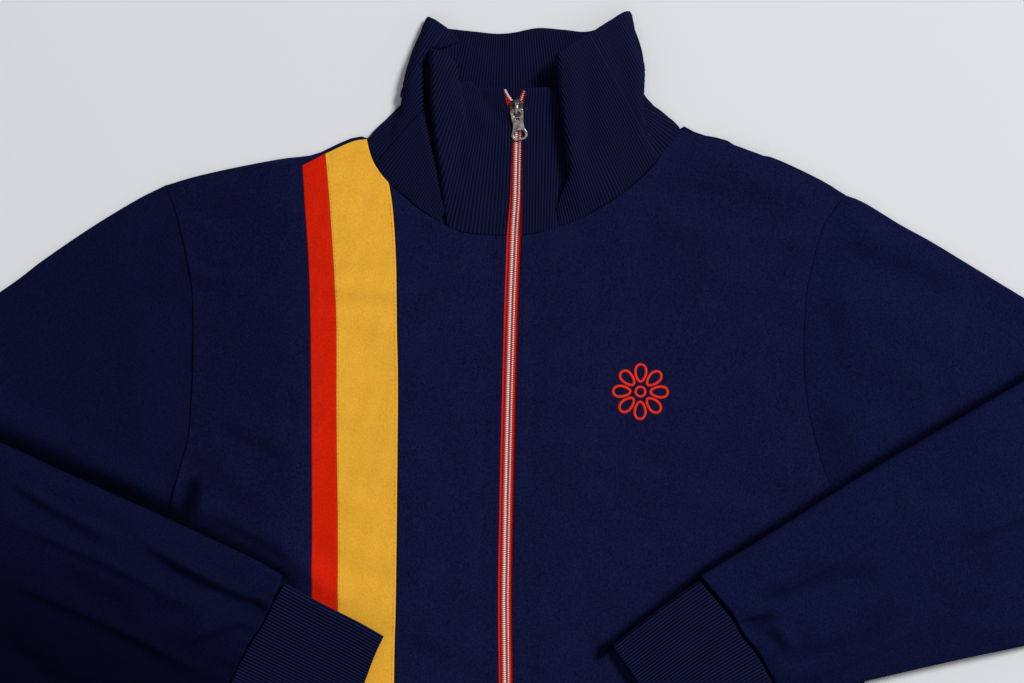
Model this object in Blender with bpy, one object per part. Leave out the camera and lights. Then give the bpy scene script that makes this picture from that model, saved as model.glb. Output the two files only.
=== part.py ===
"""A zip-through track jacket laid flat, front up, with both sleeves folded across the body.

+X is the wearer's left, +Y runs from the hem to the collar, +Z is up. The origin is on the flat
underside of the back, on the centre line at chest height. Tables and sizes are in millimetres.
"""

import math

import bmesh
import bpy
from mathutils import Matrix, Vector

MM = 0.001

# Cloth thickness and the heights that the laid layers come to.
KNIT = 1.5
RIB = 2.0
SEAM_GAP = 0.5
ARMHOLE_GAP = 0.8
LAYER_GAP = 0.3
FRONT_FLOOR = KNIT + LAYER_GAP
FOREARM_FLOOR = FRONT_FLOOR + KNIT + 0.4

# Body lengths, from the hem edge up to the seams of the hem band and the underarms.
HEM_EDGE = -525.0
HEM_HEIGHT = 62.0
HEM_SEAM = HEM_EDGE + HEM_HEIGHT
BODY_HALF_WIDTH = 237.0
HEM_HALF_WIDTH = 218.0

# Zip.
ZIP_HALF_GAP = 4.9
TAPE_THICK = 0.7
TAPE_REACH = 8.6
COIL_HALF_WIDTH = 3.0
COIL_HEIGHT = 1.4
TAPE_FLOOR = FRONT_FLOOR
ZIP_RISE = TAPE_THICK + LAYER_GAP
ZIP_RAMP = (9.5, 15.0)

# Collar.
NECK_FRONT_Y = 70.0
COLLAR_TOP_Y = 166.5
COLLAR_FRONT_Z = (3.95, 7.6, 12.0)
COLLAR_CLEARANCE = 0.7

# Slider and pull tab.
SLIDER_LENGTH = 13.0
SLIDER_WIDTH = 9.0
SLIDER_NOSE_WIDTH = 7.0
SLIDER_Y = 153.0
WING_THICK = 1.1
ARCH_WIDTH = 2.0
ARCH_LENGTH = 8.4
ARCH_HEIGHT = 3.4
ARCH_WALL = 1.0
BAR_RADIUS = 0.55
PULL_LENGTH = 19.5
PULL_NECK_WIDTH = 6.2
PULL_END_WIDTH = 10.6
PULL_THICK = 1.2
PULL_YAW = math.radians(8.0)
EYE_SIZE = (7.4, 5.4)

# Embroidered rosette.
MOTIF_CENTRE = (85.0, -31.5)
MOTIF_RADIUS = 19.0
MOTIF_THICK = 0.8
PETALS = 8

# Edges of the cloth pieces, as x and y along each edge.
HEM_TO_UNDERARM = {
    "right": ((-BODY_HALF_WIDTH + 4, HEM_SEAM), (-BODY_HALF_WIDTH, -330), (-BODY_HALF_WIDTH, -225),
              (-240, -147)),
    "left": ((BODY_HALF_WIDTH - 4, HEM_SEAM), (BODY_HALF_WIDTH, -330), (BODY_HALF_WIDTH, -225),
             (236, -142)),
}
ARMHOLE = {
    "right": ((-240, -147), (-225.5, -117), (-218, -88), (-212.5, -66), (-210.7, -28), (-211, 10),
              (-213, 36), (-218.5, 62), (-223.5, 80), (-231, 99)),
    "left": ((236, -142), (211.8, -93), (201.4, -62), (195.6, -38), (192.4, -8), (193.2, 33), (197.9, 58),
             (203.6, 80), (208.4, 88), (218, 101)),
}
FRONT_SHOULDER = {
    "right": ((-231, 99), (-198, 106.5), (-172, 111), (-141, 113.5), (-126, 121.6), (-108, 130), (-98.6, 131.8)),
    "left": ((218, 101), (203, 109), (171, 123), (138, 134.5), (121, 138.5), (108.7, 142.3)),
}
BACK_SHOULDER = {
    "right": ((-231.5, 99.5), (-212, 105.6), (-186, 112), (-155, 118.4), (-134, 121.5), (-118, 129),
              (-107, 133.6), (-99, 134.3)),
    "left": ((218.3, 101.3), (203, 110.5), (171, 124.8), (154, 128), (138.5, 136.3), (121, 139.8), (112, 144.6),
             (108, 143.2)),
}
BACK_NECK = ((-98.6, 133.8), (-80, 126), (-45, 120), (0, 118), (50, 121), (85, 130), (107.6, 142.7))
RIGHT_NECK_AT_STRIPE = ((-83.3, 103), (-89.7, 110.4), (-95, 119.4), (-98.6, 131.8))
RIGHT_NECK = ((-5, 69.7), (-28, 70.4), (-41.6, 73.8), (-56.5, 82), (-62.7, 85.6), (-74.3, 95), (-83.3, 103))
LEFT_NECK = ((5.2, 69.9), (29.8, 76.3), (45.8, 83.2), (59.2, 90.8), (72.5, 100), (85.5, 111.5), (97.6, 126),
             (108.7, 142.3))
STRIPE_EDGES = {
    "side to red": ((-128, HEM_SEAM), (-129.7, -171), (-131.5, -70), (-133.6, 5), (-135.8, 51), (-139.2, 91),
                    (-141, 113.5)),
    "red to yellow": ((-110.5, HEM_SEAM), (-112.5, -171), (-115.4, -54), (-116.5, 5), (-118.4, 38), (-121, 71),
                      (-124.3, 107), (-126, 121.6)),
    "yellow to centre": ((-72, HEM_SEAM), (-73.9, -225), (-73.6, -172), (-74.7, -40), (-76.2, 6), (-77.7, 52),
                         (-80.3, 85), (-83.3, 103)),
}
ZIP_LINE = ((0, HEM_EDGE), (0, -225), (-1.6, -171), (-1.8, -105), (-1.5, -38), (-1, 27), (-0.2, 70), (0, 166.5))

# Shares along the armhole where the body and the sleeve both have a point, so that their edges match.
ARMHOLE_STEPS = (0, 0.025, 0.11, 0.22, 0.36, 0.5, 0.64, 0.78, 0.89, 0.975, 1)
UNDERARM_SHARE = 0.55

# Each sleeve: its outer and under edges from armhole to elbow, and on to the cuff seam and cuff end.
SLEEVES = {
    "right": {
        "outer upper": ((-231, 99), (-250, 89), (-280, 70), (-311, 48), (-339, 26.5), (-429, -35)),
        "under upper": ((-240, -147), (-300, -178), (-416, -225)),
        "outer fore": ((-429, -35), (-337, -72), (-289, -93), (-226, -120), (-170, -145), (-148, -157)),
        "under fore": ((-416, -225), (-330, -246), (-260, -255), (-192, -253)),
        "cuff seam": ((-148, -157), (-153.6, -172), (-159.3, -186), (-168.7, -201), (-182, -229), (-192, -253)),
        "cuff start": ((-147, -162), (-153.6, -174), (-159.3, -187), (-168.7, -202), (-181, -228), (-189, -250)),
        "cuff end": ((-81, -195.6), (-87.7, -211), (-98, -240), (-115, -281)),
        "outer cuff": ((-147, -162), (-121.7, -175), (-97.7, -186.5), (-81, -195.6)),
        "under cuff": ((-189, -250), (-150, -266), (-115, -281)),
    },
    "left": {
        "outer upper": ((218, 101), (231, 96), (255, 82), (275, 71.5), (300, 57), (337, 35.5), (386, 7)),
        "under upper": ((236, -142), (300, -158), (388, -183)),
        "outer fore": ((386, 7), (338, -19), (285, -51), (231, -84), (178, -119), (126.6, -152)),
        "under fore": ((388, -183), (341, -194), (297, -204), (237, -219), (184, -233)),
        "cuff seam": ((126.6, -152), (138.2, -165), (148.4, -177), (156, -190), (166, -202), (184, -233)),
        "cuff start": ((125.8, -155), (137.5, -168), (147.5, -180), (155, -192), (165, -204), (181, -231)),
        "cuff end": ((69.5, -198.6), (77.3, -210), (95, -234), (121, -267)),
        "outer cuff": ((125.8, -155), (108, -168), (90, -182), (69.5, -198.6)),
        "under cuff": ((181, -231), (150, -248), (121, -267)),
    },
}

# The soft undulation of the fronts: centre x and y, half length, half width, turn in degrees, rise.
FRONT_FOLDS = (
    (-178, 60, 46, 9, 12, 0.9),
    (-183, 22, 40, 8, 4, 0.7),
    (60, 20, 190, 30, 82, 0.8),
    (150, 78, 80, 12, -7, 1.0),
    (-40, -20, 150, 16, 88, 0.7),
    (120, -110, 90, 18, 40, 0.6),
)

# The collar strip, column by column from the zip on the right, round the back, to the zip on the
# left: foot x, y; top x, y; height at foot, middle and top; sideways bow.
COLLAR_COLUMNS = (
    (-5.4, 70.6, -6.0, 166.5, COLLAR_FRONT_Z[0], COLLAR_FRONT_Z[1], COLLAR_FRONT_Z[2], 0),
    (-11, 70.6, -12, 166.5, 3.95, 7.6, 12.0, 0),
    (-18, 70.8, -19, 166.6, 3.7, 7.6, 11.8, 0),
    (-28, 71.6, -28, 167, 3.2, 7.4, 11.5, 0),
    (-36, 73.6, -35, 170.2, 3.1, 7.6, 12.0, 0),
    (-41.5, 75.8, -39, 173, 3.1, 8.4, 13.5, 0),
    (-46, 78, -43, 181, 3.1, 10.5, 16.5, 0),
    (-50, 80.4, -50, 187, 3.1, 14.0, 19.0, 0),
    (-53, 82, -57, 190.7, 3.1, 15.5, 20.0, 0),
    (-54.5, 83, -56.5, 191.8, 3.1, 12.0, 16.0, 0),
    (-56, 84, -49, 194, 3.1, 8.5, 14.0, 0),
    (-58, 85, -40.5, 196.6, 3.1, 6.8, 11.0, 0),
    (-60.5, 86.4, -41.5, 198.6, 3.1, 7.2, 8.2, 0),
    (-66, 90, -47, 203, 3.1, 9.5, 8.4, 0),
    (-75, 97.4, -53, 209, 3.1, 10.6, 9.6, 1),
    (-83.5, 105, -56.5, 212, 3.1, 9.8, 9.8, 4),
    (-91.5, 115.6, -59.5, 213.8, 3.1, 8.0, 9.2, 8),
    (-97.6, 128, -60.6, 214, 3.2, 6.0, 7.0, 11),
    (-99.6, 135.6, -60.2, 213.6, 2.3, 3.4, 4.0, 12),
    (-94, 134.6, -58, 212.4, 1.0, 1.0, 1.0, 11),
    (-78, 127, -50.5, 207.6, 1.0, 1.0, 1.0, 4),
    (-45, 121, -30, 205, 1.0, 1.0, 1.0, 0),
    (0, 119, -2, 204.6, 1.0, 1.0, 1.0, 0),
    (50, 122, 22, 208, 1.0, 1.0, 1.0, 0),
    (85, 131.4, 54, 209.6, 1.0, 1.0, 1.0, -4),
    (103, 143.4, 71, 217.6, 1.0, 1.0, 1.0, -11),
    (109.4, 145.6, 73.8, 219, 2.3, 3.6, 4.2, -12),
    (107.2, 140.4, 73.8, 219.2, 3.2, 7.0, 8.4, -11),
    (99.6, 129.6, 71, 217.5, 3.1, 9.6, 11.5, -8),
    (89, 116, 64, 213.6, 3.1, 11.6, 14.5, -4),
    (78, 105.4, 55, 208.8, 3.1, 13.2, 17.0, -1),
    (64, 94.8, 45, 202.4, 3.1, 14.8, 19.0, 0),
    (51, 87, 35, 195, 3.1, 16.4, 21.0, 0),
    (40, 81.6, 27, 187.6, 3.1, 18.0, 22.4, 4),
    (35, 79.6, 25.6, 185.6, 3.1, 15.0, 20.0, 4),
    (32.4, 78.4, 27.5, 180, 3.1, 11.0, 15.5, 4),
    (30, 77.6, 28.5, 172.5, 3.1, 8.2, 12.4, 3),
    (25, 75.8, 24.6, 167.4, 3.2, 7.4, 11.4, 0),
    (18, 73.8, 18, 166.8, 3.7, 7.6, 11.8, 0),
    (11, 71.6, 11.4, 166.6, 3.95, 7.6, 12.0, 0),
    (5.4, 70.6, 5.6, 166.5, COLLAR_FRONT_Z[0], COLLAR_FRONT_Z[1], COLLAR_FRONT_Z[2], 0),
)
COLLAR_ROWS = (0.0, 0.1, 0.22, 0.38, 0.58, 0.8, 1.0)


def material(name, colour, roughness, metallic=0.0):
    made = bpy.data.materials.new(name)
    made.use_nodes = True
    shader = made.node_tree.nodes["Principled BSDF"]
    shader.inputs["Base Color"].default_value = (*colour, 1.0)
    shader.inputs["Roughness"].default_value = roughness
    shader.inputs["Metallic"].default_value = metallic
    return made


def add_solid(name, points, faces, finish):
    """One closed object from points in millimetres."""
    mesh = bpy.data.meshes.new(name)
    mesh.from_pydata([Vector(p) * MM for p in points], [], faces)
    work = bmesh.new()
    work.from_mesh(mesh)
    bmesh.ops.recalc_face_normals(work, faces=work.faces)
    work.to_mesh(mesh)
    work.free()
    mesh.materials.append(finish)
    made = bpy.data.objects.new(name, mesh)
    bpy.context.scene.collection.objects.link(made)
    return made


def route(points):
    """A smooth line through points: a function from 0 to 1 along its length to (x, y)."""
    knots = [Vector(p) for p in points]
    knots = [2 * knots[0] - knots[1], *knots, 2 * knots[-1] - knots[-2]]
    line = []
    for a, b, c, d in zip(knots, knots[1:], knots[2:], knots[3:]):
        for step in range(12):
            t = step / 12
            line.append(0.5 * (2 * b + (c - a) * t + (2 * a - 5 * b + 4 * c - d) * t * t
                               + (3 * b - a - 3 * c + d) * t * t * t))
    line.append(knots[-2])
    reach = [0.0]
    for a, b in zip(line, line[1:]):
        reach.append(reach[-1] + (b - a).length)

    def at(share):
        far = share * reach[-1]
        for i in range(1, len(line)):
            if reach[i] >= far - 1e-9:
                part = (far - reach[i - 1]) / max(reach[i] - reach[i - 1], 1e-9)
                return line[i - 1].lerp(line[i], min(max(part, 0.0), 1.0))
        return line[-1].copy()

    return at


def moved(line, dx, dy=0.0):
    return lambda share: line(share) + Vector((dx, dy))


def then(first, second, split):
    """Two lines end to end: the first up to split, the second beyond it."""
    return lambda s: first(s / split) if s < split else second((s - split) / (1 - split))


def turned(line):
    return lambda share: line(1 - share)


def patch(bottom, top, left, right, across, up):
    """Rows of points that fill the area between four edge lines."""
    rows = []
    for v in up:
        row = []
        for u in across:
            blend = bottom(u) * (1 - v) + top(u) * v + left(v) * (1 - u) + right(v) * u
            corners = (bottom(0) * (1 - u) * (1 - v) + bottom(1) * u * (1 - v)
                       + top(0) * (1 - u) * v + top(1) * u * v)
            row.append(blend - corners)
        rows.append(row)
    return rows


def even(count):
    return [i / count for i in range(count + 1)]


def panel(name, rows, floor, thick, finish):
    """A cloth wall over rows of plan points, its underside at the height that floor gives."""
    wide = len(rows[0])
    points = [(p.x, p.y, floor(p) + rise) for rise in (0, thick) for row in rows for p in row]
    layer = wide * len(rows)
    faces = []
    for j in range(len(rows) - 1):
        for i in range(wide - 1):
            a = j * wide + i
            quad = (a, a + 1, a + wide + 1, a + wide)
            faces += [quad[::-1], tuple(k + layer for k in quad)]
    rim = ([i for i in range(wide)] + [j * wide + wide - 1 for j in range(1, len(rows))]
           + [(len(rows) - 1) * wide + i for i in range(wide - 2, -1, -1)]
           + [j * wide for j in range(len(rows) - 2, 0, -1)])
    for a, b in zip(rim, rim[1:] + rim[:1]):
        faces.append((a, b, b + layer, a + layer))
    return add_solid(name, points, faces, finish)


def tube(name, rings, finish):
    """A cloth tube: each ring is (outer loop, inner loop) of points, all the same in number."""
    around = len(rings[0][0])
    points = [p for outer, inner in rings for p in (*outer, *inner)]
    faces = []
    for k in range(len(rings) - 1):
        for i in range(around):
            j = (i + 1) % around
            a, b = 2 * k * around, 2 * (k + 1) * around
            faces.append((a + i, a + j, b + j, b + i))
            faces.append((a + around + j, a + around + i, b + around + i, b + around + j))
    for start in (0, 2 * (len(rings) - 1) * around):
        for i in range(around):
            j = (i + 1) % around
            faces.append((start + i, start + j, start + around + j, start + around + i))
    return add_solid(name, points, faces, finish)


def smooth(low, high, value):
    t = min(max((value - low) / (high - low), 0.0), 1.0)
    return t * t * (3 - 2 * t)


def side_of(point, a, b):
    """How far a plan point lies to the left of the line from a to b."""
    along = (b - a).normalized()
    return along.x * (point.y - a.y) - along.y * (point.x - a.x)


def uncovered(point):
    """0 under a forearm, rising to 1 where the cloth lies open above it."""
    right = side_of(point, Vector((-429, -35)), Vector((-81, -195.6)))
    left = side_of(point, Vector((69.5, -198.6)), Vector((386, 7)))
    return smooth(4, 34, min(right, left))


def front_floor(point):
    """Underside of the fronts: flat where a sleeve presses, lifted over the zip tape."""
    folds = 0.0
    for x, y, long, wide, turn, rise in FRONT_FOLDS:
        c, s = math.cos(math.radians(turn)), math.sin(math.radians(turn))
        dx, dy = point.x - x, point.y - y
        folds += rise * math.exp(-((dx * c + dy * s) / long) ** 2 - ((dy * c - dx * s) / wide) ** 2)
    from_zip = abs(point.x - zip_x(point.y))
    lift = ZIP_RISE * (1 - smooth(*ZIP_RAMP, from_zip))
    return FRONT_FLOOR + lift + folds * uncovered(point) * smooth(12, 30, from_zip)


def zip_x(y):
    """The zip's middle line, read from its table."""
    for (xa, ya), (xb, yb) in zip(ZIP_LINE, ZIP_LINE[1:]):
        if y <= yb:
            return xa + (xb - xa) * min(max((y - ya) / (yb - ya), 0), 1)
    return ZIP_LINE[-1][0]


def quadratic(values, v):
    low, middle, high = values
    return low + v * (4 * middle - 3 * low - high) + v * v * (2 * low + 2 * high - 4 * middle)


def zip_floor(y):
    """Underside of the zip tape, which climbs with the front of the collar."""
    v = (y - NECK_FRONT_Y) / (COLLAR_TOP_Y - NECK_FRONT_Y)
    if v <= 0:
        return TAPE_FLOOR
    return quadratic(COLLAR_FRONT_Z, v) - RIB / 2 - LAYER_GAP - TAPE_THICK - 0.15 * smooth(0, 0.1, v)


def flat_ring(edges, floor, thick, wall, puff, place=None):
    """One section of a flattened tube between an outer and an under edge line.

    edges is the row of plan points across it; place turns (plan point, height) into a point.
    """
    place = place or (lambda p, z: (p.x, p.y, z))
    lengths = [0.0]
    for a, b in zip(edges, edges[1:]):
        lengths.append(lengths[-1] + (b - a).length)
    width = lengths[-1]

    def shell(inset):
        half = thick / 2 - inset
        upper, lower = [], []
        for p, far in zip(edges, lengths):
            near = min(far, width - far)
            full = math.sqrt(max(0.0, 1 - (1 - min(near / (thick / 2), 1)) ** 2))
            swell = puff * max(0.0, math.sin(math.pi * far / width)) ** 1.5
            if inset and near == 0:
                toward = (edges[1] - edges[0]) if far == 0 else (edges[-2] - edges[-1])
                p = p + toward.normalized() * inset
            upper.append(place(p, floor + thick / 2 + half * full + swell))
            lower.append(place(p, floor + thick / 2 - half * full))
        return [upper[0], *upper[1:-1], upper[-1], *lower[-2:0:-1]]

    return shell(0.0), shell(wall)


def across_sleeve(first_step):
    """Shares across a flattened tube: the armhole's own steps, and one more near each rounded edge."""
    return sorted([*ARMHOLE_STEPS, first_step, 1 - first_step])


def sleeve_rings(side):
    """Rings from the armhole, out to the elbow, over the fold and back to the cuff seam."""
    lines = {name: route(points) for name, points in SLEEVES[side].items()}
    armhole = turned(route(ARMHOLE[side]))
    elbow = route((SLEEVES[side]["outer upper"][-1], SLEEVES[side]["under upper"][-1]))
    outward = -1 if side == "right" else 1
    press = 2 * KNIT + 0.4
    fold_height = press + 0.15
    rings = []
    off_armhole = outward * ARMHOLE_GAP
    across = across_sleeve(0.012)
    upper = patch(moved(armhole, off_armhole), moved(elbow, off_armhole), moved(lines["outer upper"], off_armhole),
                  moved(lines["under upper"], off_armhole), across, (0.0, 0.08, 0.2, 0.35, 0.52, 0.7, 0.86, 1.0))
    for k, row in enumerate(upper):
        open_cloth = uncovered(row[3]) * smooth(0, 2, k) * (1 - smooth(5, 7, k))
        rings.append(flat_ring(row, 0.0, press + 0.6 * open_cloth, KNIT, 1.6 * open_cloth))
    crease = upper[-1]
    for angle in range(30, 180, 30):
        c, s = math.cos(math.radians(angle)), math.sin(math.radians(angle))

        def wrap(p, z, c=c, s=s):
            reach = fold_height - z
            return (p.x + outward * reach * s, p.y, fold_height - reach * c)

        rings.append(flat_ring(crease, 0.0, press, KNIT, 0.0, wrap))
    fore = patch(elbow, lines["cuff seam"], lines["outer fore"], lines["under fore"], across,
                 (0.0, 0.06, 0.15, 0.27, 0.4, 0.54, 0.68, 0.82, 0.93, 1.0))
    for k, row in enumerate(fore):
        swell = smooth(0, 3, k) * (1 - 0.5 * smooth(7, 9, k))
        thick = press + 1.4 * swell
        puff = 1.6 * swell
        outer, inner = flat_ring(row, FOREARM_FLOOR, thick, KNIT, puff)
        if k == 0:
            continue
        rings.append((flipped(outer, row), flipped(inner, row)))
    return rings


def flipped(loop, row):
    """The forearm lies with its under layer on top, so its loop starts on the other layer."""
    last = len(row) - 1
    return [loop[0], *loop[:last:-1], loop[last], *loop[last - 1:0:-1]]


def cuff_rings(side):
    lines = {name: route(points) for name, points in SLEEVES[side].items()}
    inward = Vector((0.7, -0.4)) if side == "right" else Vector((-0.7, -0.4))
    rows = patch(moved(lines["cuff start"], inward.x, inward.y), lines["cuff end"],
                 lines["outer cuff"], lines["under cuff"], across_sleeve(0.05), even(5))
    return [flat_ring(row, FOREARM_FLOOR, 2 * RIB + 0.6, RIB, 0.8) for row in rows]


def build_body(cloth):
    sides = {}
    for side in ("right", "left"):
        sides[side] = then(route(HEM_TO_UNDERARM[side]), route(ARMHOLE[side]), UNDERARM_SHARE)
    up = [0, 0.14, 0.28, 0.42] + [UNDERARM_SHARE + (1 - UNDERARM_SHARE) * step for step in ARMHOLE_STEPS]

    hem_line = route(((-BODY_HALF_WIDTH + 4, HEM_SEAM), (BODY_HALF_WIDTH - 4, HEM_SEAM)))
    shoulders_and_neck = then(route(BACK_SHOULDER["right"]),
                              then(route(BACK_NECK), turned(route(BACK_SHOULDER["left"])), 0.64), 0.3)
    across = [0, 0.05, 0.12, 0.19, 0.25, 0.3, 0.35, 0.41, 0.47, 0.53, 0.59, 0.65, 0.7, 0.748, 0.8, 0.86, 0.93, 1]
    panel("back", patch(hem_line, shoulders_and_neck, sides["right"], sides["left"], across, up),
          lambda p: 0.0, KNIT, cloth["navy"])

    edges = {name: route(points) for name, points in STRIPE_EDGES.items()}
    half = SEAM_GAP / 2

    def hem_between(a, b):
        return route(((a, HEM_SEAM), (b, HEM_SEAM)))

    shoulder = FRONT_SHOULDER["right"]
    panel("front_right_side",
          patch(hem_between(-BODY_HALF_WIDTH + 4, -128 - half), moved(route(shoulder[:4]), -half),
                sides["right"], moved(edges["side to red"], -half), even(8), up),
          front_floor, KNIT, cloth["navy"])
    panel("stripe_red",
          patch(hem_between(-128 + half, -110.5 - half), route((shoulder[3], shoulder[4])),
                moved(edges["side to red"], half), moved(edges["red to yellow"], -half), even(2), up),
          front_floor, KNIT, cloth["red"])
    neck_corner = then(edges["yellow to centre"], route(RIGHT_NECK_AT_STRIPE), 0.9)
    panel("stripe_yellow",
          patch(hem_between(-110.5 + half, -72 - half), route(shoulder[4:]),
                moved(edges["red to yellow"], half), moved(neck_corner, -half), even(4), up),
          front_floor, KNIT, cloth["yellow"])
    zip_edge = route([(x, y) for x, y in ZIP_LINE if y < NECK_FRONT_Y and y > HEM_SEAM]
                     + [(zip_x(69.7), 69.7)])
    low = route(((0, HEM_SEAM), (0, -225)))
    whole_edge = then(low, zip_edge, 0.45)
    panel("front_right_centre",
          patch(hem_between(-72 + half, -ZIP_HALF_GAP), turned(route(RIGHT_NECK)),
                moved(edges["yellow to centre"], half), moved(whole_edge, -ZIP_HALF_GAP),
                (0, 0.2, 0.4, 0.6, 0.8, 0.86, 0.93, 1), up),
          front_floor, KNIT, cloth["navy"])
    neck_share = 0.5
    panel("front_left",
          patch(hem_between(ZIP_HALF_GAP, BODY_HALF_WIDTH - 4),
                then(route(LEFT_NECK), turned(route(FRONT_SHOULDER["left"])), neck_share),
                moved(whole_edge, ZIP_HALF_GAP), sides["left"],
                (0, 0.02, 0.042, 0.065, 0.12, 0.2, 0.3, 0.4, 0.5, 0.6, 0.7, 0.8, 0.9, 1), up),
          front_floor, KNIT, cloth["navy"])


def build_sleeves(cloth):
    for side in ("right", "left"):
        tube("sleeve_" + side, sleeve_rings(side), cloth["navy"])
        tube("cuff_" + side, cuff_rings(side), cloth["rib"])


def collar_point(column, v):
    foot_x, foot_y, top_x, top_y, low, middle, high, bow = column
    side_bow = bow * 12.2 * v * (1 - v) ** 4
    foot_y += COLLAR_CLEARANCE
    return Vector((foot_x + (top_x - foot_x) * v + side_bow, foot_y + (top_y - foot_y) * v,
                   quadratic((low, middle, high), v)))


def build_collar(cloth):
    """One rib strip from zip to zip, pleated at both sides, its back laid flat."""
    wide = len(COLLAR_COLUMNS)
    points = [collar_point(column, v) * MM for v in COLLAR_ROWS for column in COLLAR_COLUMNS]
    faces = []
    for j in range(len(COLLAR_ROWS) - 1):
        for i in range(wide - 1):
            a = j * wide + i
            faces.append((a + 1, a, a + wide, a + wide + 1))
    mesh = bpy.data.meshes.new("collar")
    mesh.from_pydata(points, [], faces)
    mesh.materials.append(cloth["rib"])
    collar = bpy.data.objects.new("collar", mesh)
    bpy.context.scene.collection.objects.link(collar)
    wall = collar.modifiers.new("wall", "SOLIDIFY")
    wall.thickness = RIB * MM
    wall.offset = 0.0
    return collar


def build_hem(cloth):
    """One rib strip from zip to zip: a flat ring, open at the centre front."""
    front = FRONT_FLOOR + ZIP_RISE
    height = front + KNIT
    rows = []
    for y, half in ((HEM_EDGE, HEM_HALF_WIDTH), (HEM_EDGE + 20, HEM_HALF_WIDTH + 2),
                    (HEM_SEAM - 14, HEM_HALF_WIDTH + 8), (HEM_SEAM - SEAM_GAP, BODY_HALF_WIDTH - 5)):
        def arc(radius, middle):
            return [(half - height / 2 + radius * math.cos(math.radians(a)), y,
                     middle + radius * math.sin(math.radians(a))) for a in range(-90, 91, 30)]

        right_out = arc(height / 2, height / 2)
        right_in = arc(height / 2 - KNIT, height / 2)
        left_out = [(-x, y, z) for x, y, z in right_out[::-1]]
        left_in = [(-x, y, z) for x, y, z in right_in[::-1]]
        loop = [*right_out, (ZIP_HALF_GAP, y, height), (ZIP_HALF_GAP, y, front), *right_in[::-1],
                *left_in[::-1], (-ZIP_HALF_GAP, y, front), (-ZIP_HALF_GAP, y, height), *left_out]
        rows.append(loop)
    around = len(rows[0])
    points = [p for row in rows for p in row]
    faces = []
    for k in range(len(rows) - 1):
        for i in range(around):
            j = (i + 1) % around
            faces.append((k * around + i, k * around + j, (k + 1) * around + j, (k + 1) * around + i))
    faces += [tuple(range(around))[::-1], tuple(range((len(rows) - 1) * around, len(rows) * around))]
    return add_solid("hem_band", points, faces, cloth["rib"])


def build_zip(cloth):
    """Two tapes, each with the ridge of its coil, parted above the slider."""
    stations = [HEM_EDGE + 12, -470, -400, -310, -225, -171, -105, -38, 27, 60, 70, 82, 96, 110, 124, 138, 150,
                155, 160, 165]
    for side, sign in (("right", -1), ("left", 1)):
        rings = []
        for y in stations:
            floor = zip_floor(y)
            part = 0.2 + 2.6 * smooth(151, 166, y) ** 1.5
            middle = zip_x(y)
            profile = ((part, 0), (TAPE_REACH, 0), (TAPE_REACH, TAPE_THICK),
                       (part + COIL_HALF_WIDTH - 0.2, TAPE_THICK),
                       (part + COIL_HALF_WIDTH - 0.6, TAPE_THICK + COIL_HEIGHT * 0.8),
                       (part + COIL_HALF_WIDTH / 2, TAPE_THICK + COIL_HEIGHT),
                       (part + 0.3, TAPE_THICK + COIL_HEIGHT * 0.8), (part, TAPE_THICK))
            rings.append([(middle + sign * x, y, floor + z) for x, z in profile])
        around = len(rings[0])
        faces = []
        for k in range(len(rings) - 1):
            for i in range(around):
                j = (i + 1) % around
                faces.append((k * around + i, k * around + j, (k + 1) * around + j, (k + 1) * around + i))
        faces += [tuple(range(around))[::-1], tuple(range((len(rings) - 1) * around, len(rings) * around))]
        add_solid("zip_tape_" + side, [p for ring in rings for p in ring], faces, cloth["tape"])


def slab(work, outline, low, high):
    """An upright prism over a plan outline, added to a bmesh."""
    ground = [work.verts.new((x, y, low)) for x, y in outline]
    lid = [work.verts.new((x, y, high)) for x, y in outline]
    work.faces.new(ground[::-1])
    work.faces.new(lid)
    for i in range(len(outline)):
        j = (i + 1) % len(outline)
        work.faces.new((ground[i], ground[j], lid[j], lid[i]))


def placed_object(name, outline_list, place, finish):
    """An object made of prisms, each (outline, low, high), joined by Boolean unions."""
    pieces = []
    for k, (outline, low, high) in enumerate(outline_list):
        work = bmesh.new()
        slab(work, outline, low, high)
        bmesh.ops.recalc_face_normals(work, faces=work.faces)
        mesh = bpy.data.meshes.new(name if k == 0 else name + "_part")
        work.to_mesh(mesh)
        work.free()
        mesh.transform(Matrix.Scale(MM, 4))
        mesh.materials.append(finish)
        piece = bpy.data.objects.new(mesh.name, mesh)
        piece.matrix_world = place
        bpy.context.scene.collection.objects.link(piece)
        pieces.append(piece)
    for helper in pieces[1:]:
        helper.hide_render = True
        helper.display_type = "WIRE"
        union = pieces[0].modifiers.new("join", "BOOLEAN")
        union.operation = "UNION"
        union.object = helper
    return pieces[0]


def slider_place():
    """The slider's frame: its middle on top of the coil, tilted with the collar."""
    rise = (zip_floor(SLIDER_Y + 8) - zip_floor(SLIDER_Y - 8)) / 16
    top = zip_floor(SLIDER_Y) + TAPE_THICK + COIL_HEIGHT
    place = Matrix.Translation(Vector((zip_x(SLIDER_Y), SLIDER_Y, top)) * MM)
    return place @ Matrix.Rotation(math.atan(rise), 4, "X")


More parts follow.
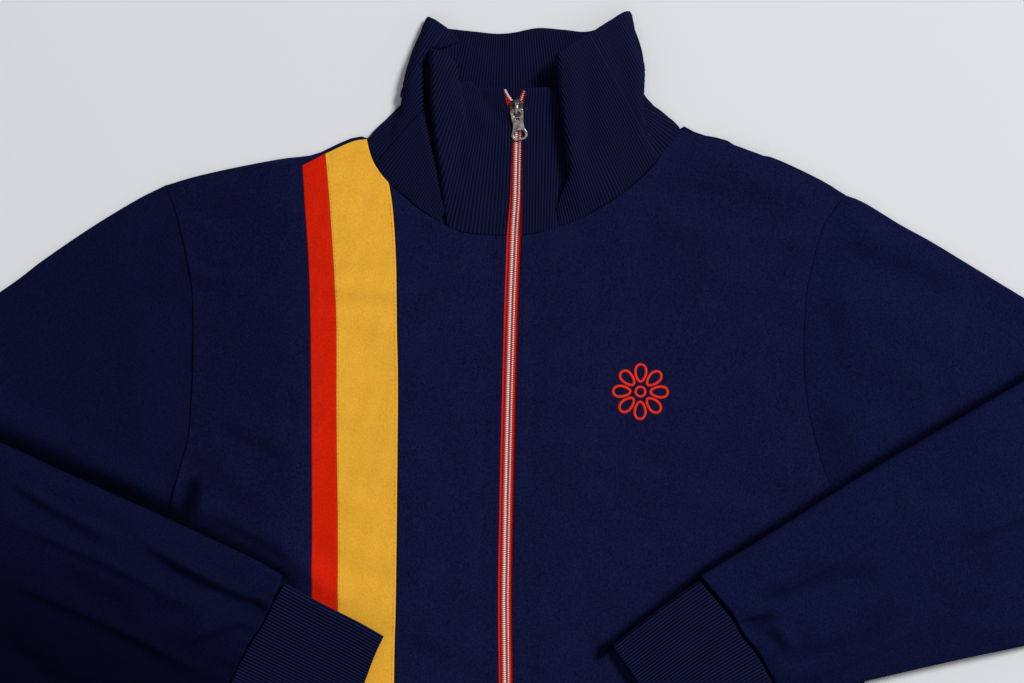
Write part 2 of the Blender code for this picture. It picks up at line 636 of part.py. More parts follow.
def build_slider(cloth):
    length, nose, tail = SLIDER_LENGTH / 2, SLIDER_WIDTH / 2, SLIDER_NOSE_WIDTH / 2
    wing = [(-tail, -length), (tail, -length), (tail + 0.6, -length + 4), (nose, 1.5), (nose, length - 2),
            (nose - 1.6, length), (-nose + 1.6, length), (-nose, length - 2), (-nose, 1.5),
            (-tail - 0.6, -length + 4)]
    low = LAYER_GAP
    floor = -(TAPE_THICK + COIL_HEIGHT) - LAYER_GAP
    half = ARCH_WIDTH / 2
    front, back = -ARCH_LENGTH / 2, ARCH_LENGTH / 2
    top = low + WING_THICK
    post = [(-0.9, 4.6), (0.9, 4.6), (0.9, length - 0.6), (-0.9, length - 0.6)]

    def strip(y0, y1):
        return [(-half, y0), (half, y0), (half, y1), (-half, y1)]

    parts = [
        (wing, low, top),
        ([(x * 0.86, y * 0.96) for x, y in wing], floor - 0.8, floor),
        (post, floor - 0.4, low + 0.5),
        (strip(front, front + ARCH_WALL), top - 0.3, top + ARCH_HEIGHT),
        (strip(back - ARCH_WALL, back), top - 0.3, top + ARCH_HEIGHT),
        (strip(front, back), top + ARCH_HEIGHT - ARCH_WALL, top + ARCH_HEIGHT),
    ]
    placed_object("zip_slider", parts, slider_place(), cloth["metal"])


def build_pull(cloth):
    """The pull tab: a bar under the slider's arch, two rails, a plate and an open eye."""
    bar_height = LAYER_GAP + WING_THICK + 0.5 + BAR_RADIUS
    bar_y = -1.2
    place = slider_place() @ Matrix.Translation(Vector((0, bar_y, bar_height)) * MM)
    drop = math.atan2(0.9, PULL_LENGTH)
    place = place @ Matrix.Rotation(PULL_YAW, 4, "Z") @ Matrix.Rotation(drop, 4, "X")
    neck, end = PULL_NECK_WIDTH / 2, PULL_END_WIDTH / 2
    rail_in, rail_out = ARCH_WIDTH / 2 + 0.7, ARCH_WIDTH / 2 + 1.7
    slot_end = -5.4
    half = PULL_THICK / 2
    bar = BAR_RADIUS
    eye_middle = -PULL_LENGTH + end + 0.6

    def oval(rx, ry, y, count=20):
        return [(rx * math.sin(2 * math.pi * k / count), y + ry * math.cos(2 * math.pi * k / count))
                for k in range(count)]

    parts = [
        ([(-rail_out, -bar), (rail_out, -bar), (rail_out, bar), (-rail_out, bar)], -bar, bar),
        ([(rail_in, slot_end - 0.4), (rail_out, slot_end - 0.4), (rail_out, bar), (rail_in, bar)], -half, half),
        ([(-rail_out, slot_end - 0.4), (-rail_in, slot_end - 0.4), (-rail_in, bar), (-rail_out, bar)], -half, half),
        ([(-end, eye_middle), (end, eye_middle), (neck, slot_end - 2.4), (neck - 0.3, slot_end - 0.6),
          (rail_out, slot_end), (-rail_out, slot_end), (-neck + 0.3, slot_end - 0.6),
          (-neck, slot_end - 2.4)], -half, half),
        (oval(end, end, eye_middle), -half, half),
    ]
    pull = placed_object("pull_tab", parts, place, cloth["metal"])
    eye_mesh = bmesh.new()
    slab(eye_mesh, oval(EYE_SIZE[0] / 2, EYE_SIZE[1] / 2, eye_middle), -3, 3)
    bmesh.ops.recalc_face_normals(eye_mesh, faces=eye_mesh.faces)
    mesh = bpy.data.meshes.new("pull_eye_cutter")
    eye_mesh.to_mesh(mesh)
    eye_mesh.free()
    mesh.transform(Matrix.Scale(MM, 4))
    cutter = bpy.data.objects.new("pull_eye_cutter", mesh)
    cutter.matrix_world = place
    cutter.hide_render = True
    cutter.display_type = "WIRE"
    bpy.context.scene.collection.objects.link(cutter)
    cut = pull.modifiers.new("eye", "BOOLEAN")
    cut.operation = "DIFFERENCE"
    cut.object = cutter


def build_zip_box(cloth):
    """The box at the bottom end of the zip, where the two tapes meet."""
    low, high = TAPE_FLOOR, TAPE_FLOOR + TAPE_THICK + COIL_HEIGHT + 0.6
    outline = [(-4.4, HEM_EDGE + 1), (4.4, HEM_EDGE + 1), (4.4, HEM_EDGE + 10), (3.4, HEM_EDGE + 11.5),
               (-3.4, HEM_EDGE + 11.5), (-4.4, HEM_EDGE + 10)]
    placed_object("zip_box", [(outline, low, high)], Matrix.Identity(4), cloth["metal"])


def build_motif(cloth):
    """A ring of eight petals, raised off the left front by a stitch's thickness."""
    count = PETALS * 8
    rings = []
    for outer in (True, False):
        for low in (True, False):
            loop = []
            for k in range(count):
                turn = 2 * math.pi * k / count
                petal = abs(math.cos(PETALS / 2 * turn))
                radius = MOTIF_RADIUS * (0.8 + 0.2 * petal) if outer else MOTIF_RADIUS * 0.3
                p = Vector((MOTIF_CENTRE[0] + radius * math.sin(turn), MOTIF_CENTRE[1] + radius * math.cos(turn)))
                z = front_floor(p) + KNIT + LAYER_GAP + 0.1 + (0 if low else MOTIF_THICK)
                loop.append((p.x, p.y, z))
            rings.append(loop)
    outer_low, outer_high, inner_low, inner_high = (k * count for k in range(4))
    faces = []
    for i in range(count):
        j = (i + 1) % count
        faces.append((outer_low + i, outer_low + j, outer_high + j, outer_high + i))
        faces.append((outer_high + i, outer_high + j, inner_high + j, inner_high + i))
        faces.append((inner_high + i, inner_high + j, inner_low + j, inner_low + i))
        faces.append((inner_low + i, inner_low + j, outer_low + j, outer_low + i))
    add_solid("motif", [p for ring in rings for p in ring], faces, cloth["thread"])


def main():
    for old in list(bpy.data.objects):
        bpy.data.objects.remove(old)
    cloth = {
        "navy": material("navy_knit", (0.006, 0.008, 0.040), 0.9),
        "rib": material("navy_rib", (0.006, 0.008, 0.034), 0.92),
        "red": material("red_knit", (0.62, 0.020, 0.004), 0.85),
        "yellow": material("yellow_knit", (0.80, 0.36, 0.03), 0.85),
        "tape": material("red_tape", (0.70, 0.015, 0.01), 0.7),
        "metal": material("zip_metal", (0.55, 0.55, 0.54), 0.3, 1.0),
        "thread": material("embroidery_thread", (0.85, 0.03, 0.01), 0.45),
    }
    build_body(cloth)
    build_sleeves(cloth)
    build_collar(cloth)
    build_hem(cloth)
    build_zip(cloth)
    build_slider(cloth)
    build_pull(cloth)
    build_zip_box(cloth)
    build_motif(cloth)


main()
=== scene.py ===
import math

import bmesh
import bpy
import numpy as np
from mathutils import Matrix, Vector


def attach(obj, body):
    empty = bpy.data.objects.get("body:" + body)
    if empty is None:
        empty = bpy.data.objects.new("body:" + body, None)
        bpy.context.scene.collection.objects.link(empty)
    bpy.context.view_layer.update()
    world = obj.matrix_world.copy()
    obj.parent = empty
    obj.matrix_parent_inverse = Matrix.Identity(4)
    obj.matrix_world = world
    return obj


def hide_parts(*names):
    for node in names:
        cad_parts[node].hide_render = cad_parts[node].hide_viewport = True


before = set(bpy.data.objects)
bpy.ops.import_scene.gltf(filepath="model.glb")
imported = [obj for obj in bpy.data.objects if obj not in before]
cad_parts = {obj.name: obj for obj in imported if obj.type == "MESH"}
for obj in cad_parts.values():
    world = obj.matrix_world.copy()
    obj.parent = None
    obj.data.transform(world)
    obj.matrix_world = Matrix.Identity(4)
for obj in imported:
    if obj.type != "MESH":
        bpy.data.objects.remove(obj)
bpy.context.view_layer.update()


# ---------------------------------------------------------------------------------------------
# The back. One piece of navy sweatshirt knit, cut from armhole to armhole. It lies flat on the
# table; only the strip that rolls forward over the shoulders shows from the front. All tables
# are in millimetres, with +X to the wearer's left and +Y towards the collar.
MM = 0.001
KNIT = 1.5                  # thickness of the sweatshirt cloth
FRONT_FLOOR = 1.8           # underside of the fronts where they lie on the back
HEM_EDGE, HEM_SEAM = -525.0, -463.0
BODY_HALF = 237.0
UNDERARM_SHARE = 0.55       # how far up a body edge the underarm comes
BACK_WIDE, BACK_HIGH, BACK_CELL = 470, 600, 7.5

SIDE_SEAM = {
    "right": ((-BODY_HALF + 4, HEM_SEAM), (-BODY_HALF, -330), (-BODY_HALF, -225), (-240, -147)),
    "left": ((BODY_HALF - 4, HEM_SEAM), (BODY_HALF, -330), (BODY_HALF, -225), (236, -142)),
}
ARMHOLE = {
    "right": ((-240, -147), (-225.5, -117), (-218, -88), (-212.5, -66), (-210.7, -28), (-211, 10),
              (-213, 36), (-218.5, 62), (-223.5, 80), (-231, 99)),
    "left": ((236, -142), (211.8, -93), (201.4, -62), (195.6, -38), (192.4, -8), (193.2, 33), (197.9, 58),
             (203.6, 80), (208.4, 88), (218, 101)),
}
FRONT_SHOULDER = {
    "right": ((-231, 99), (-198, 106.5), (-172, 111), (-141, 113.5), (-126, 121.6), (-108, 130),
              (-98.6, 131.8)),
    "left": ((218, 101), (203, 109), (171, 123), (138, 134.5), (121, 138.5), (108.7, 142.3)),
}
BACK_SHOULDER = {
    "right": ((-231.5, 99.5), (-212, 105.6), (-186, 112), (-155, 118.4), (-134, 121.5), (-118, 129),
              (-107, 133.6), (-99, 134.3)),
    "left": ((218.3, 101.3), (203, 110.5), (171, 124.8), (154, 128), (138.5, 136.3), (121, 139.8),
             (112, 144.6), (108, 143.2)),
}
BACK_NECK = ((-98.6, 133.8), (-80, 126), (-45, 120), (0, 118), (50, 121), (85, 130), (107.6, 142.7))


def through(a, b, c, d, t):
    """A smooth curve from b to c, as t goes from 0 to 1, that heads on from a and towards d."""
    return 0.5 * (2 * b + (c - a) * t + (2 * a - 5 * b + 4 * c - d) * t ** 2
                  + (3 * b - a - 3 * c + d) * t ** 3)


def with_ends(knots):
    """Rows with one more at each end, in line with the last two."""
    return np.vstack([2 * knots[0] - knots[1], knots, 2 * knots[-1] - knots[-2]])


def measured(line):
    """How far each point of a line lies along it."""
    return np.concatenate([[0], np.cumsum(np.linalg.norm(np.diff(line, axis=0), axis=1))])


def read_at(line, reach, far):
    """The points of a measured line at the given lengths along it."""
    return np.stack([np.interp(far, reach, line[:, k]) for k in range(line.shape[1])], axis=-1)


def unit(vectors, least=0.0):
    """Vectors brought to length 1; least keeps one of no length from dividing by 0."""
    return vectors / (np.linalg.norm(vectors, axis=-1, keepdims=True) + least)


def route(points):
    """A smooth line through points, as a function of shares from 0 to 1 along its length."""
    knots = with_ends(np.array(points, float))
    t = np.linspace(0, 1, 25)[:-1, None]
    a, b, c, d = knots[:-3], knots[1:-2], knots[2:-1], knots[3:]
    line = np.vstack([*(through(a[k], b[k], c[k], d[k], t) for k in range(len(a))), knots[-2:-1]])
    reach = measured(line)

    def at(shares):
        return read_at(line, reach, np.asarray(shares, float) * reach[-1])

    at.length = reach[-1]
    return at


def then(first, second, split):
    """Two lines end to end: the first up to the share split, the second beyond it."""
    def at(shares):
        shares = np.asarray(shares, float)
        one = first(np.clip(shares / split, 0, 1))
        two = second(np.clip((shares - split) / (1 - split), 0, 1))
        return np.where((shares < split)[:, None], one, two)

    at.length = first.length + second.length
    return at


def turned(line):
    def at(shares):
        return line(1 - np.asarray(shares, float))

    at.length = line.length
    return at


def moved(line, dx, dy=0.0):
    def at(shares):
        return line(shares) + np.array([dx, dy])

    at.length = line.length
    return at


def patch(bottom, top, left, right, across, up):
    """Rows of plan points that fill the area between four edge lines."""
    u, v = np.asarray(across)[None, :, None], np.asarray(up)[:, None, None]
    low, high, near, far = bottom(across)[None], top(across)[None], left(up)[:, None], right(up)[:, None]
    corners = (low[:, :1] * (1 - u) * (1 - v) + low[:, -1:] * u * (1 - v)
               + high[:, :1] * (1 - u) * v + high[:, -1:] * u * v)
    return low * (1 - v) + high * v + near * (1 - u) + far * u - corners


def spaced(length, cell, close=(0.25, 0.7, 1.4, 2.6)):
    """Shares along a length: even cells, with closer ones at both ends for the rolled edges."""
    count = max(2, round((length - 2 * close[-1]) / cell))
    middle = np.linspace(close[-1], length - close[-1], count + 1)
    ends = np.array([0.0, *close[:-1]])
    return np.concatenate([ends, middle, length - ends[::-1]]) / length


def smooth(low, high, value):
    t = np.clip((value - low) / (high - low), 0, 1)
    return t * t * (3 - 2 * t)


def climb(share, low, middle, high):
    """A height that starts at low, passes middle halfway and ends at high."""
    return low + share * (4 * middle - 3 * low - high) + share ** 2 * (2 * low + 2 * high - 4 * middle)


def lengths_across(plan):
    """How far each point lies along its own row."""
    steps = np.linalg.norm(np.diff(plan, axis=1), axis=2)
    return np.concatenate([np.zeros((len(plan), 1)), np.cumsum(steps, axis=1)], axis=1)


def from_edges(across, up, width, height):
    """How far each point of a patch is from the nearest of its four edges."""
    u = np.minimum(across, 1 - np.asarray(across)) * width
    v = np.minimum(up, 1 - np.asarray(up)) * height
    return np.minimum(u[None, :], v[:, None])


def rolled(distance, radius):
    """How far a rounded edge drops below the flat of the cloth."""
    t = np.clip(distance / radius, 0, 1)
    return radius * (1 - np.sqrt(1 - (1 - t) ** 2))


def creases(x, y, table):
    """The height of soft ridges and, where the rise is negative, troughs.

    table columns: start x, y; end x, y; half width; rise; sideways bow of its middle.
    """
    total = np.zeros_like(x)
    for x0, y0, x1, y1, wide, rise, bow in table:
        dx, dy = x1 - x0, y1 - y0
        long = math.hypot(dx, dy)
        t = ((x - x0) * dx + (y - y0) * dy) / long ** 2
        off = ((x - x0) * dy - (y - y0) * dx) / long - bow * 4 * t * (1 - t)
        total += rise * np.exp(-(off / wide) ** 2) * smooth(-0.15, 0.3, t) * smooth(-0.15, 0.3, 1 - t)
    return total


def ripple(x, y, pitch, seed):
    """Uneven waves, about 1 high, a few times as long as pitch."""
    draw = np.random.default_rng(seed)
    total = np.zeros_like(x)
    for _ in range(7):
        turn, shift, stretch = draw.uniform(0, 2 * math.pi), draw.uniform(0, 6.3), draw.uniform(0.6, 1.6)
        wave = 2 * math.pi / (pitch * stretch)
        total += np.sin((x * math.cos(turn) + y * math.sin(turn)) * wave + shift)
    return total / 3.2


def finished(name, points, faces, material, marks=None):
    """A smooth-shaded mesh object from points in millimetres; marks are per-point attributes."""
    mesh = bpy.data.meshes.new(name)
    mesh.vertices.add(len(points))
    mesh.vertices.foreach_set("co", (np.asarray(points, float) * MM).astype(np.float32).ravel())
    faces = np.asarray(faces, np.int32)
    mesh.loops.add(faces.size)
    mesh.loops.foreach_set("vertex_index", faces.ravel())
    mesh.polygons.add(len(faces))
    mesh.polygons.foreach_set("loop_start", np.arange(0, faces.size, faces.shape[1], dtype=np.int32))
    mesh.update(calc_edges=True)
    mesh.validate()
    for mark, values in (marks or {}).items():
        layer = mesh.attributes.new(mark, "FLOAT", "POINT")
        layer.data.foreach_set("value", np.asarray(values, np.float32).ravel())
    mesh.materials.append(material)
    mesh.shade_smooth()
    made = bpy.data.objects.new(name, mesh)
    bpy.context.scene.collection.objects.link(made)
    return made


def faced_out(made):
    """Turns every face of a closed wall to look away from its own cloth."""
    work = bmesh.new()
    work.from_mesh(made.data)
    bmesh.ops.recalc_face_normals(work, faces=work.faces)
    work.to_mesh(made.data)
    work.free()
    return made


def chosen(*pieces):
    """Selects only these pieces and makes the last one active."""
    bpy.ops.object.select_all(action="DESELECT")
    for piece in pieces:
        piece.select_set(True)
    bpy.context.view_layer.objects.active = pieces[-1]


def joined(*pieces):
    """Joins pieces into the last one."""
    chosen(*pieces)
    bpy.ops.object.join()


def grid_faces(rows, wide, start=0, around=False):
    """Quads over a grid of points, closed round its width if around."""
    i = np.arange(wide if around else wide - 1)
    j = (i + 1) % wide
    k = np.arange(rows - 1)[:, None] * wide + start
    return np.stack([k + i, k + j, k + wide + j, k + wide + i], axis=-1).reshape(-1, 4)


def on_both_skins(marks):
    """The marks of one skin of a cloth wall, repeated for the other."""
    return {mark: np.concatenate([np.ravel(v), np.ravel(v)]) for mark, v in (marks or {}).items()}


def sheet_shell(name, top, bottom, material, marks=None):
    """A closed cloth wall between two grids of points, each rows x columns x 3."""
    rows, wide, _ = top.shape
    count = rows * wide
    faces = [grid_faces(rows, wide), grid_faces(rows, wide, count)[:, ::-1]]
    rim = np.concatenate([np.arange(wide), np.arange(1, rows) * wide + wide - 1,
                          (rows - 1) * wide + np.arange(wide - 2, -1, -1), np.arange(rows - 2, 0, -1) * wide])
    after = np.roll(rim, -1)
    faces.append(np.stack([rim, rim + count, after + count, after], axis=-1))
    points = np.concatenate([top.reshape(-1, 3), bottom.reshape(-1, 3)])
    both = on_both_skins(marks)
    return finished(name, points, np.concatenate(faces), material, both)


def node_tree(name):
    made = bpy.data.materials.new(name)
    made.use_nodes = True
    tree = made.node_tree
    return made, tree, tree.nodes["Principled BSDF"]


def settings(node, values):
    for name, value in values.items():
        node.inputs[name].default_value = value


def own_place(tree):
    """Where a point lies on the piece itself."""
    return tree.nodes.new("ShaderNodeTexCoord").outputs["Object"]


def marked(tree, mark):
    node = tree.nodes.new("ShaderNodeAttribute")
    node.attribute_name = mark
    return node.outputs["Fac"]


def noise(tree, place, scale, detail=2.0, roughness=0.5):
    node = tree.nodes.new("ShaderNodeTexNoise")
    settings(node, {"Scale": scale, "Detail": detail, "Roughness": roughness})
    tree.links.new(place, node.inputs["Vector"])
    return node.outputs["Fac"]


def plus_share(tree, value, share, base):
    """The base value plus a share of another."""
    node = tree.nodes.new("ShaderNodeMath")
    node.operation = "MULTIPLY_ADD"
    node.inputs[1].default_value = share
    tree.links.new(value, node.inputs[0])
    tree.links.new(base, node.inputs[2])
    return node.outputs["Value"]


def two_tone(tree, value, dark, light, low=0.0, high=1.0):
    """A colour that goes from dark at the low value to light at the high one."""
    node = tree.nodes.new("ShaderNodeValToRGB")
    ends = node.color_ramp.elements
    ends[0].position, ends[1].position = low, high
    ends[0].color, ends[1].color = (*dark, 1), (*light, 1)
    tree.links.new(value, node.inputs["Fac"])
    return node.outputs["Color"]


def roughened(tree, shader, height, strength, deep):
    """Lets a value stand out of the surface as fine relief."""
    node = tree.nodes.new("ShaderNodeBump")
    settings(node, {"Strength": strength, "Distance": deep})
    tree.links.new(height, node.inputs["Height"])
    tree.links.new(node.outputs["Normal"], shader.inputs["Normal"])


WALE = 0.0009               # one stitch of the knit, in metres


def knit(name, dark, light, sheen=0.04, bump=0.2):
    """Sweatshirt knit: fine uneven stitches, faint blotches of dye, a short fuzz, and painted shade that
    takes the colour towards near-black navy where the piece's shade mark is high.
    """
    made, tree, shader = node_tree(name)
    place = own_place(tree)
    stretch = tree.nodes.new("ShaderNodeMapping")
    stretch.inputs["Scale"].default_value = (1 / WALE, 0.62 / WALE, 1 / WALE)
    tree.links.new(place, stretch.inputs["Vector"])
    stitches = noise(tree, stretch.outputs["Vector"], 1.0, 2.0, 0.6)
    dyed = plus_share(tree, noise(tree, place, 42.0, 3.0), 0.15, stitches)
    # Painted shade: the shade mark on the points mixes the knit's colour towards near-black navy.
    painted_shade_mix = tree.nodes.new("ShaderNodeMix")
    painted_shade_mix.data_type = "RGBA"
    painted_shade_mix.inputs["B"].default_value = (dark[0] * 0.02, dark[1] * 0.2, dark[2] * 0.26, 1)
    tree.links.new(marked(tree, "painted_shade"), painted_shade_mix.inputs["Factor"])
    tree.links.new(two_tone(tree, dyed, dark, light, 0.40, 0.76), painted_shade_mix.inputs["A"])
    tree.links.new(painted_shade_mix.outputs["Result"], shader.inputs["Base Color"])
    roughened(tree, shader, stitches, bump, 0.0004)
    settings(shader, {"Roughness": 0.92, "Specular IOR Level": 0.04, "Sheen Weight": sheen,
                      "Sheen Roughness": 0.55, "Sheen Tint": (*light, 1)})
    return made


navy = knit("navy_knit", (0.0030, 0.0040, 0.0235), (0.0081, 0.0107, 0.0545), bump=0.4)
navy_sleeve = knit("navy_sleeve_knit", (0.0028, 0.0042, 0.0250), (0.0074, 0.0106, 0.0560), bump=0.4)


def shoulder_height(x, y):
    """The back rises to the level of the fronts where it rolls over the shoulder seams."""
    seam = np.array([*FRONT_SHOULDER["right"], *FRONT_SHOULDER["left"][::-1]])
    above = y - np.interp(x, seam[:, 0], seam[:, 1])
    in_neck = (x > -99) & (x < 108)
    return np.where(in_neck, 0.0, 1.35 * smooth(-0.2, 0.9, above))


body_sides = {side: then(route(SIDE_SEAM[side]), route(ARMHOLE[side]), UNDERARM_SHARE)
              for side in ("right", "left")}
back_top = then(route(BACK_SHOULDER["right"]),
                then(route(BACK_NECK), turned(route(BACK_SHOULDER["left"])), 0.64), 0.3)
hem_line = route(((-BODY_HALF + 4, HEM_SEAM), (BODY_HALF - 4, HEM_SEAM)))
across = spaced(BACK_WIDE, BACK_CELL)
up = spaced(BACK_HIGH, BACK_CELL, (0.25, 0.7, 1.4, 2.4, 3.6, 5.0))
plan = patch(hem_line, back_top, body_sides["right"], body_sides["left"], across, up)
x, y = plan[..., 0], plan[..., 1]
edge = from_edges(across, up, BACK_WIDE, BACK_HIGH)
lift = shoulder_height(x, y)
back_upper = np.dstack([x, y, KNIT + lift - rolled(edge, 0.7)])
back_lower = np.dstack([x, y, lift + 0.6 * rolled(edge, 0.7) * (lift > 0.1)])
back = sheet_shell("back_panel", back_upper, back_lower, navy)
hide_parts("back")
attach(back, "jacket")


# ---------------------------------------------------------------------------------------------
# The fronts. The wearer's left front is one piece; the right front is pieced from a side part,
# a red stripe, a yellow stripe and a centre strip, joined from shoulder to hem. They lie on the
# back, lift over the zip tape and are pressed flat where the sleeves cross them.
ZIP_LINE = ((0, HEM_EDGE), (0, -225), (-1.6, -171), (-1.8, -105), (-1.5, -38), (-1, 27), (-0.2, 70),
            (0, 166.5))
ZIP_HALF_GAP = 4.6
LEFT_NECK = ((5.2, 69.9), (29.8, 76.3), (45.8, 83.2), (59.2, 90.8), (72.5, 100), (85.5, 111.5), (97.6, 126),
             (108.7, 142.3))
RIGHT_NECK = ((-5, 69.7), (-28, 70.4), (-41.6, 73.8), (-56.5, 82), (-62.7, 85.6), (-74.3, 95), (-83.3, 103))
RIGHT_NECK_AT_STRIPE = ((-83.3, 103), (-89.7, 110.4), (-95, 119.4), (-98.6, 131.8))
STRIPE_EDGES = {
    "side to red": ((-128, HEM_SEAM), (-129.7, -171), (-131.5, -70), (-133.6, 5), (-135.8, 51), (-139.2, 91),
                    (-141, 113.5)),
    "red to yellow": ((-110.5, HEM_SEAM), (-112.5, -171), (-115.4, -54), (-116.5, 5), (-118.4, 38),
                      (-121, 71), (-124.3, 107), (-126, 121.6)),
    "yellow to centre": ((-72, HEM_SEAM), (-73.9, -225), (-73.6, -172), (-74.7, -40), (-76.2, 6), (-77.7, 52),
                         (-80.3, 85), (-83.3, 103)),
}
FOREARM_TOPS = {
    "right": ((-429, -35), (-337, -72), (-289, -93), (-226, -120), (-170, -145), (-148, -157), (-122, -175),
              (-98, -186.5), (-81, -195.6), (200, -325)),
    "left": ((-200, -374), (69.5, -198.6), (90, -182), (108, -168), (126.6, -152), (178, -119), (231, -84),
             (285, -51), (338, -19), (386, 7)),
}
FOREARM_SLANT = 0.88        # turns a drop in y into a distance square to a forearm's edge
ZIP_LIFT = 1.0

# start x, y; end x, y; half width; rise; bow
FRONT_CREASES = (
    (95, 101, 172, 88, 9, -1.5, 3),
    (112, 122, 200, 96, 10, 1.1, -3),
    (92, 84, 160, 66, 10, 0.8, 2),
    (120, 60, 175, 30, 12, 0.5, 0),
    (196, 66, 150, 78, 7, 0.6, 0),
    (-212, 49, -186, 44, 3.2, -0.8, 1),
    (-212, 42, -180, 38, 3.5, 0.9, 1),
    (-211, 30, -190, 27, 3, -0.6, 0),
    (-214, 10, -145, 14, 7, 0.5, -2),
    (-192, -62, -150, -82, 4.5, -0.9, 2),
    (-190, -52, -150, -70, 7, 0.7, 2),
    (-206, -84, -215, -126, 7, -2.4, 0),
    (-200, -122, -142, -152, 6, -1.6, 0),
    (-192, -84, -150, -114, 8, 1.0, 2),
    (-204, 96, -160, 84, 9, 0.7, -3),
    (-226, 88, -190, 78, 6, -0.7, 2),
    (-60, -20, -56, -210, 14, 0.5, 0),
    (-45, 40, -34, -80, 10, 0.4, 0),
    (40, 50, 52, -120, 18, 0.6, 4),
    (140, -88, 188, -100, 8, -0.9, 2),
    (150, -20, 60, -90, 16, 0.5, 6),
    (140, -70, 40, -150, 14, -0.5, 4),
    (34, -180, 20, -330, 14, 0.6, 0),
    (150, -300, 60, -440, 20, 1.0, 10),
    (-200, -300, -150, -430, 18, 0.9, -8),
    (200, -270, 170, -400, 16, -0.8, 5),
    (-30, -300, -50, -450, 12, 0.7, 0),
)
STRIPE_CREASES = (
    (-145, 42, -78, 45, 4.5, -0.55, 0),
    (-130, 34, -74, 31, 4.0, 0.5, 1),
    (-126, 22, -74, 25, 4.0, -0.5, 1),
    (-122, 12, -80, 9, 5.0, 0.35, 0),
    (-120, 84, -84, 78, 6.0, 0.4, 0),
    (-114, -60, -84, -66, 7.0, -0.35, 0),
    (-112, -110, -76, -104, 6.0, 0.35, 1),
    (-116, -150, -76, -158, 7.0, -0.3, 1),
)


def zip_middle(y):
    line = np.array(ZIP_LINE)
    return np.interp(y, line[:, 1], line[:, 0])


def above_forearm(x, y, side):
    """How far a point lies above the upper edge of a forearm, square to it."""
    edge = np.array(FOREARM_TOPS[side])
    return FOREARM_SLANT * (y - np.interp(x, edge[:, 0], edge[:, 1]))


def uncovered(x, y):
    """0 under a forearm and in its line, rising to 1 where the cloth lies open above it."""
    right, left = above_forearm(x, y, "right"), above_forearm(x, y, "left")
    below = smooth(-150, -190, right) * smooth(-150, -190, left) * (y < -285)
    return np.maximum(np.minimum(smooth(0, 11, right), smooth(-1, 8, left)), below)


def pushed_up(x, y):
    """The soft roll of cloth that stands along the upper edge of each forearm."""
    right, left = above_forearm(x, y, "right"), above_forearm(x, y, "left")
    return (3.6 * np.exp(-((right - 15) / 8) ** 2) * smooth(-110, -150, x)
            + 2.0 * np.exp(-((left - 10) / 7) ** 2) * (x > 60))


def crevice_shade_mask(x, y):
    """1 deep in the crevice above a forearm: the mask of the painted shade that stands for the crevice's
    shadow.
    """
    right, left = above_forearm(x, y, "right"), above_forearm(x, y, "left")
    wide = 7 + 4 * smooth(-330, -240, x) - 5 * smooth(-222, -210, x)
    return np.maximum((1 - smooth(wide - 5, wide + 2, right)) * (right > -4) * smooth(-128, -150, x),
                      (1 - smooth(1.5, 6.5, left)) * (left > -4) * (x > 60))


def hollow_shade_mask(x, y):
    """Painted shade in the small hollow beside the right armhole, and in the one that runs from it to the
    cuff.
    """
    return np.clip(creases(x, y, ((-205, -90, -217, -128, 7, 1.0, 0),
                                  (-212, -120, -150, -150, 5, 0.7, 1))), 0, 1)


def front_height(x, y):
    """Underside of the fronts, with the creases that the worn cloth keeps."""
    from_zip = np.abs(x - zip_middle(y))
    lift = ZIP_LIFT * (1 - smooth(9.5, 15, from_zip))
    soft = creases(x, y, FRONT_CREASES) + 0.6 * creases(x, y, STRIPE_CREASES)
    soft += 0.16 * ripple(x, y, 46, 3) + 0.10 * ripple(x, y, 17, 8)
    open_cloth = uncovered(x, y) * smooth(8, 26, from_zip) * smooth(2, 22, 237 - np.abs(x))
    return FRONT_FLOOR + lift + np.maximum(1.5 + 2.3 * soft + pushed_up(x, y), 0.0) * open_cloth


def seam_pucker(x, y, edge, seed, reach=9.0, height=0.12):
    return height * ripple(x, y, 7.0, seed) * np.exp(-edge / reach) * smooth(0.2, 2.5, edge)


def front_panel(name, node, edges, size, material, seed, cell=3.0):
    """A panel of a front: edges are its bottom, top, left and right lines."""
    wide, high = size
    across, up = spaced(wide, cell), spaced(high, cell)
    plan = patch(*edges, across, up)
    x, y = plan[..., 0], plan[..., 1]
    edge = from_edges(across, up, wide, high)
    floor = front_height(x, y)
    upper = np.dstack([x, y, floor + KNIT + seam_pucker(x, y, edge, seed) - rolled(edge, 0.65)])
    lower = np.dstack([x, y, floor])
    # Painted shade on the fronts: near black in the crevices above the forearms and in the hollows by the
    # right armhole, and partly darker on the wearer's right side, which lies turned from the light.
    painted_shade = np.maximum(np.maximum(crevice_shade_mask(x, y), hollow_shade_mask(x, y)), 0.26 * smooth(-125, -165, x))
    made = sheet_shell(name, upper, lower, material, {"painted_shade": painted_shade})
    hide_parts(node)
    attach(made, "jacket")
    return made


def hem_between(a, b):
    return route(((a, HEM_SEAM), (b, HEM_SEAM)))


lines = {name: route(points) for name, points in STRIPE_EDGES.items()}
zip_edge = then(route(((0, HEM_SEAM), (0, -225))),
                route(((0, -225), (-1.6, -171), (-1.8, -105), (-1.5, -38), (-1, 27), (-0.2, 69.7))), 0.45)
shoulder = FRONT_SHOULDER["right"]
HALF_SEAM = 0.07

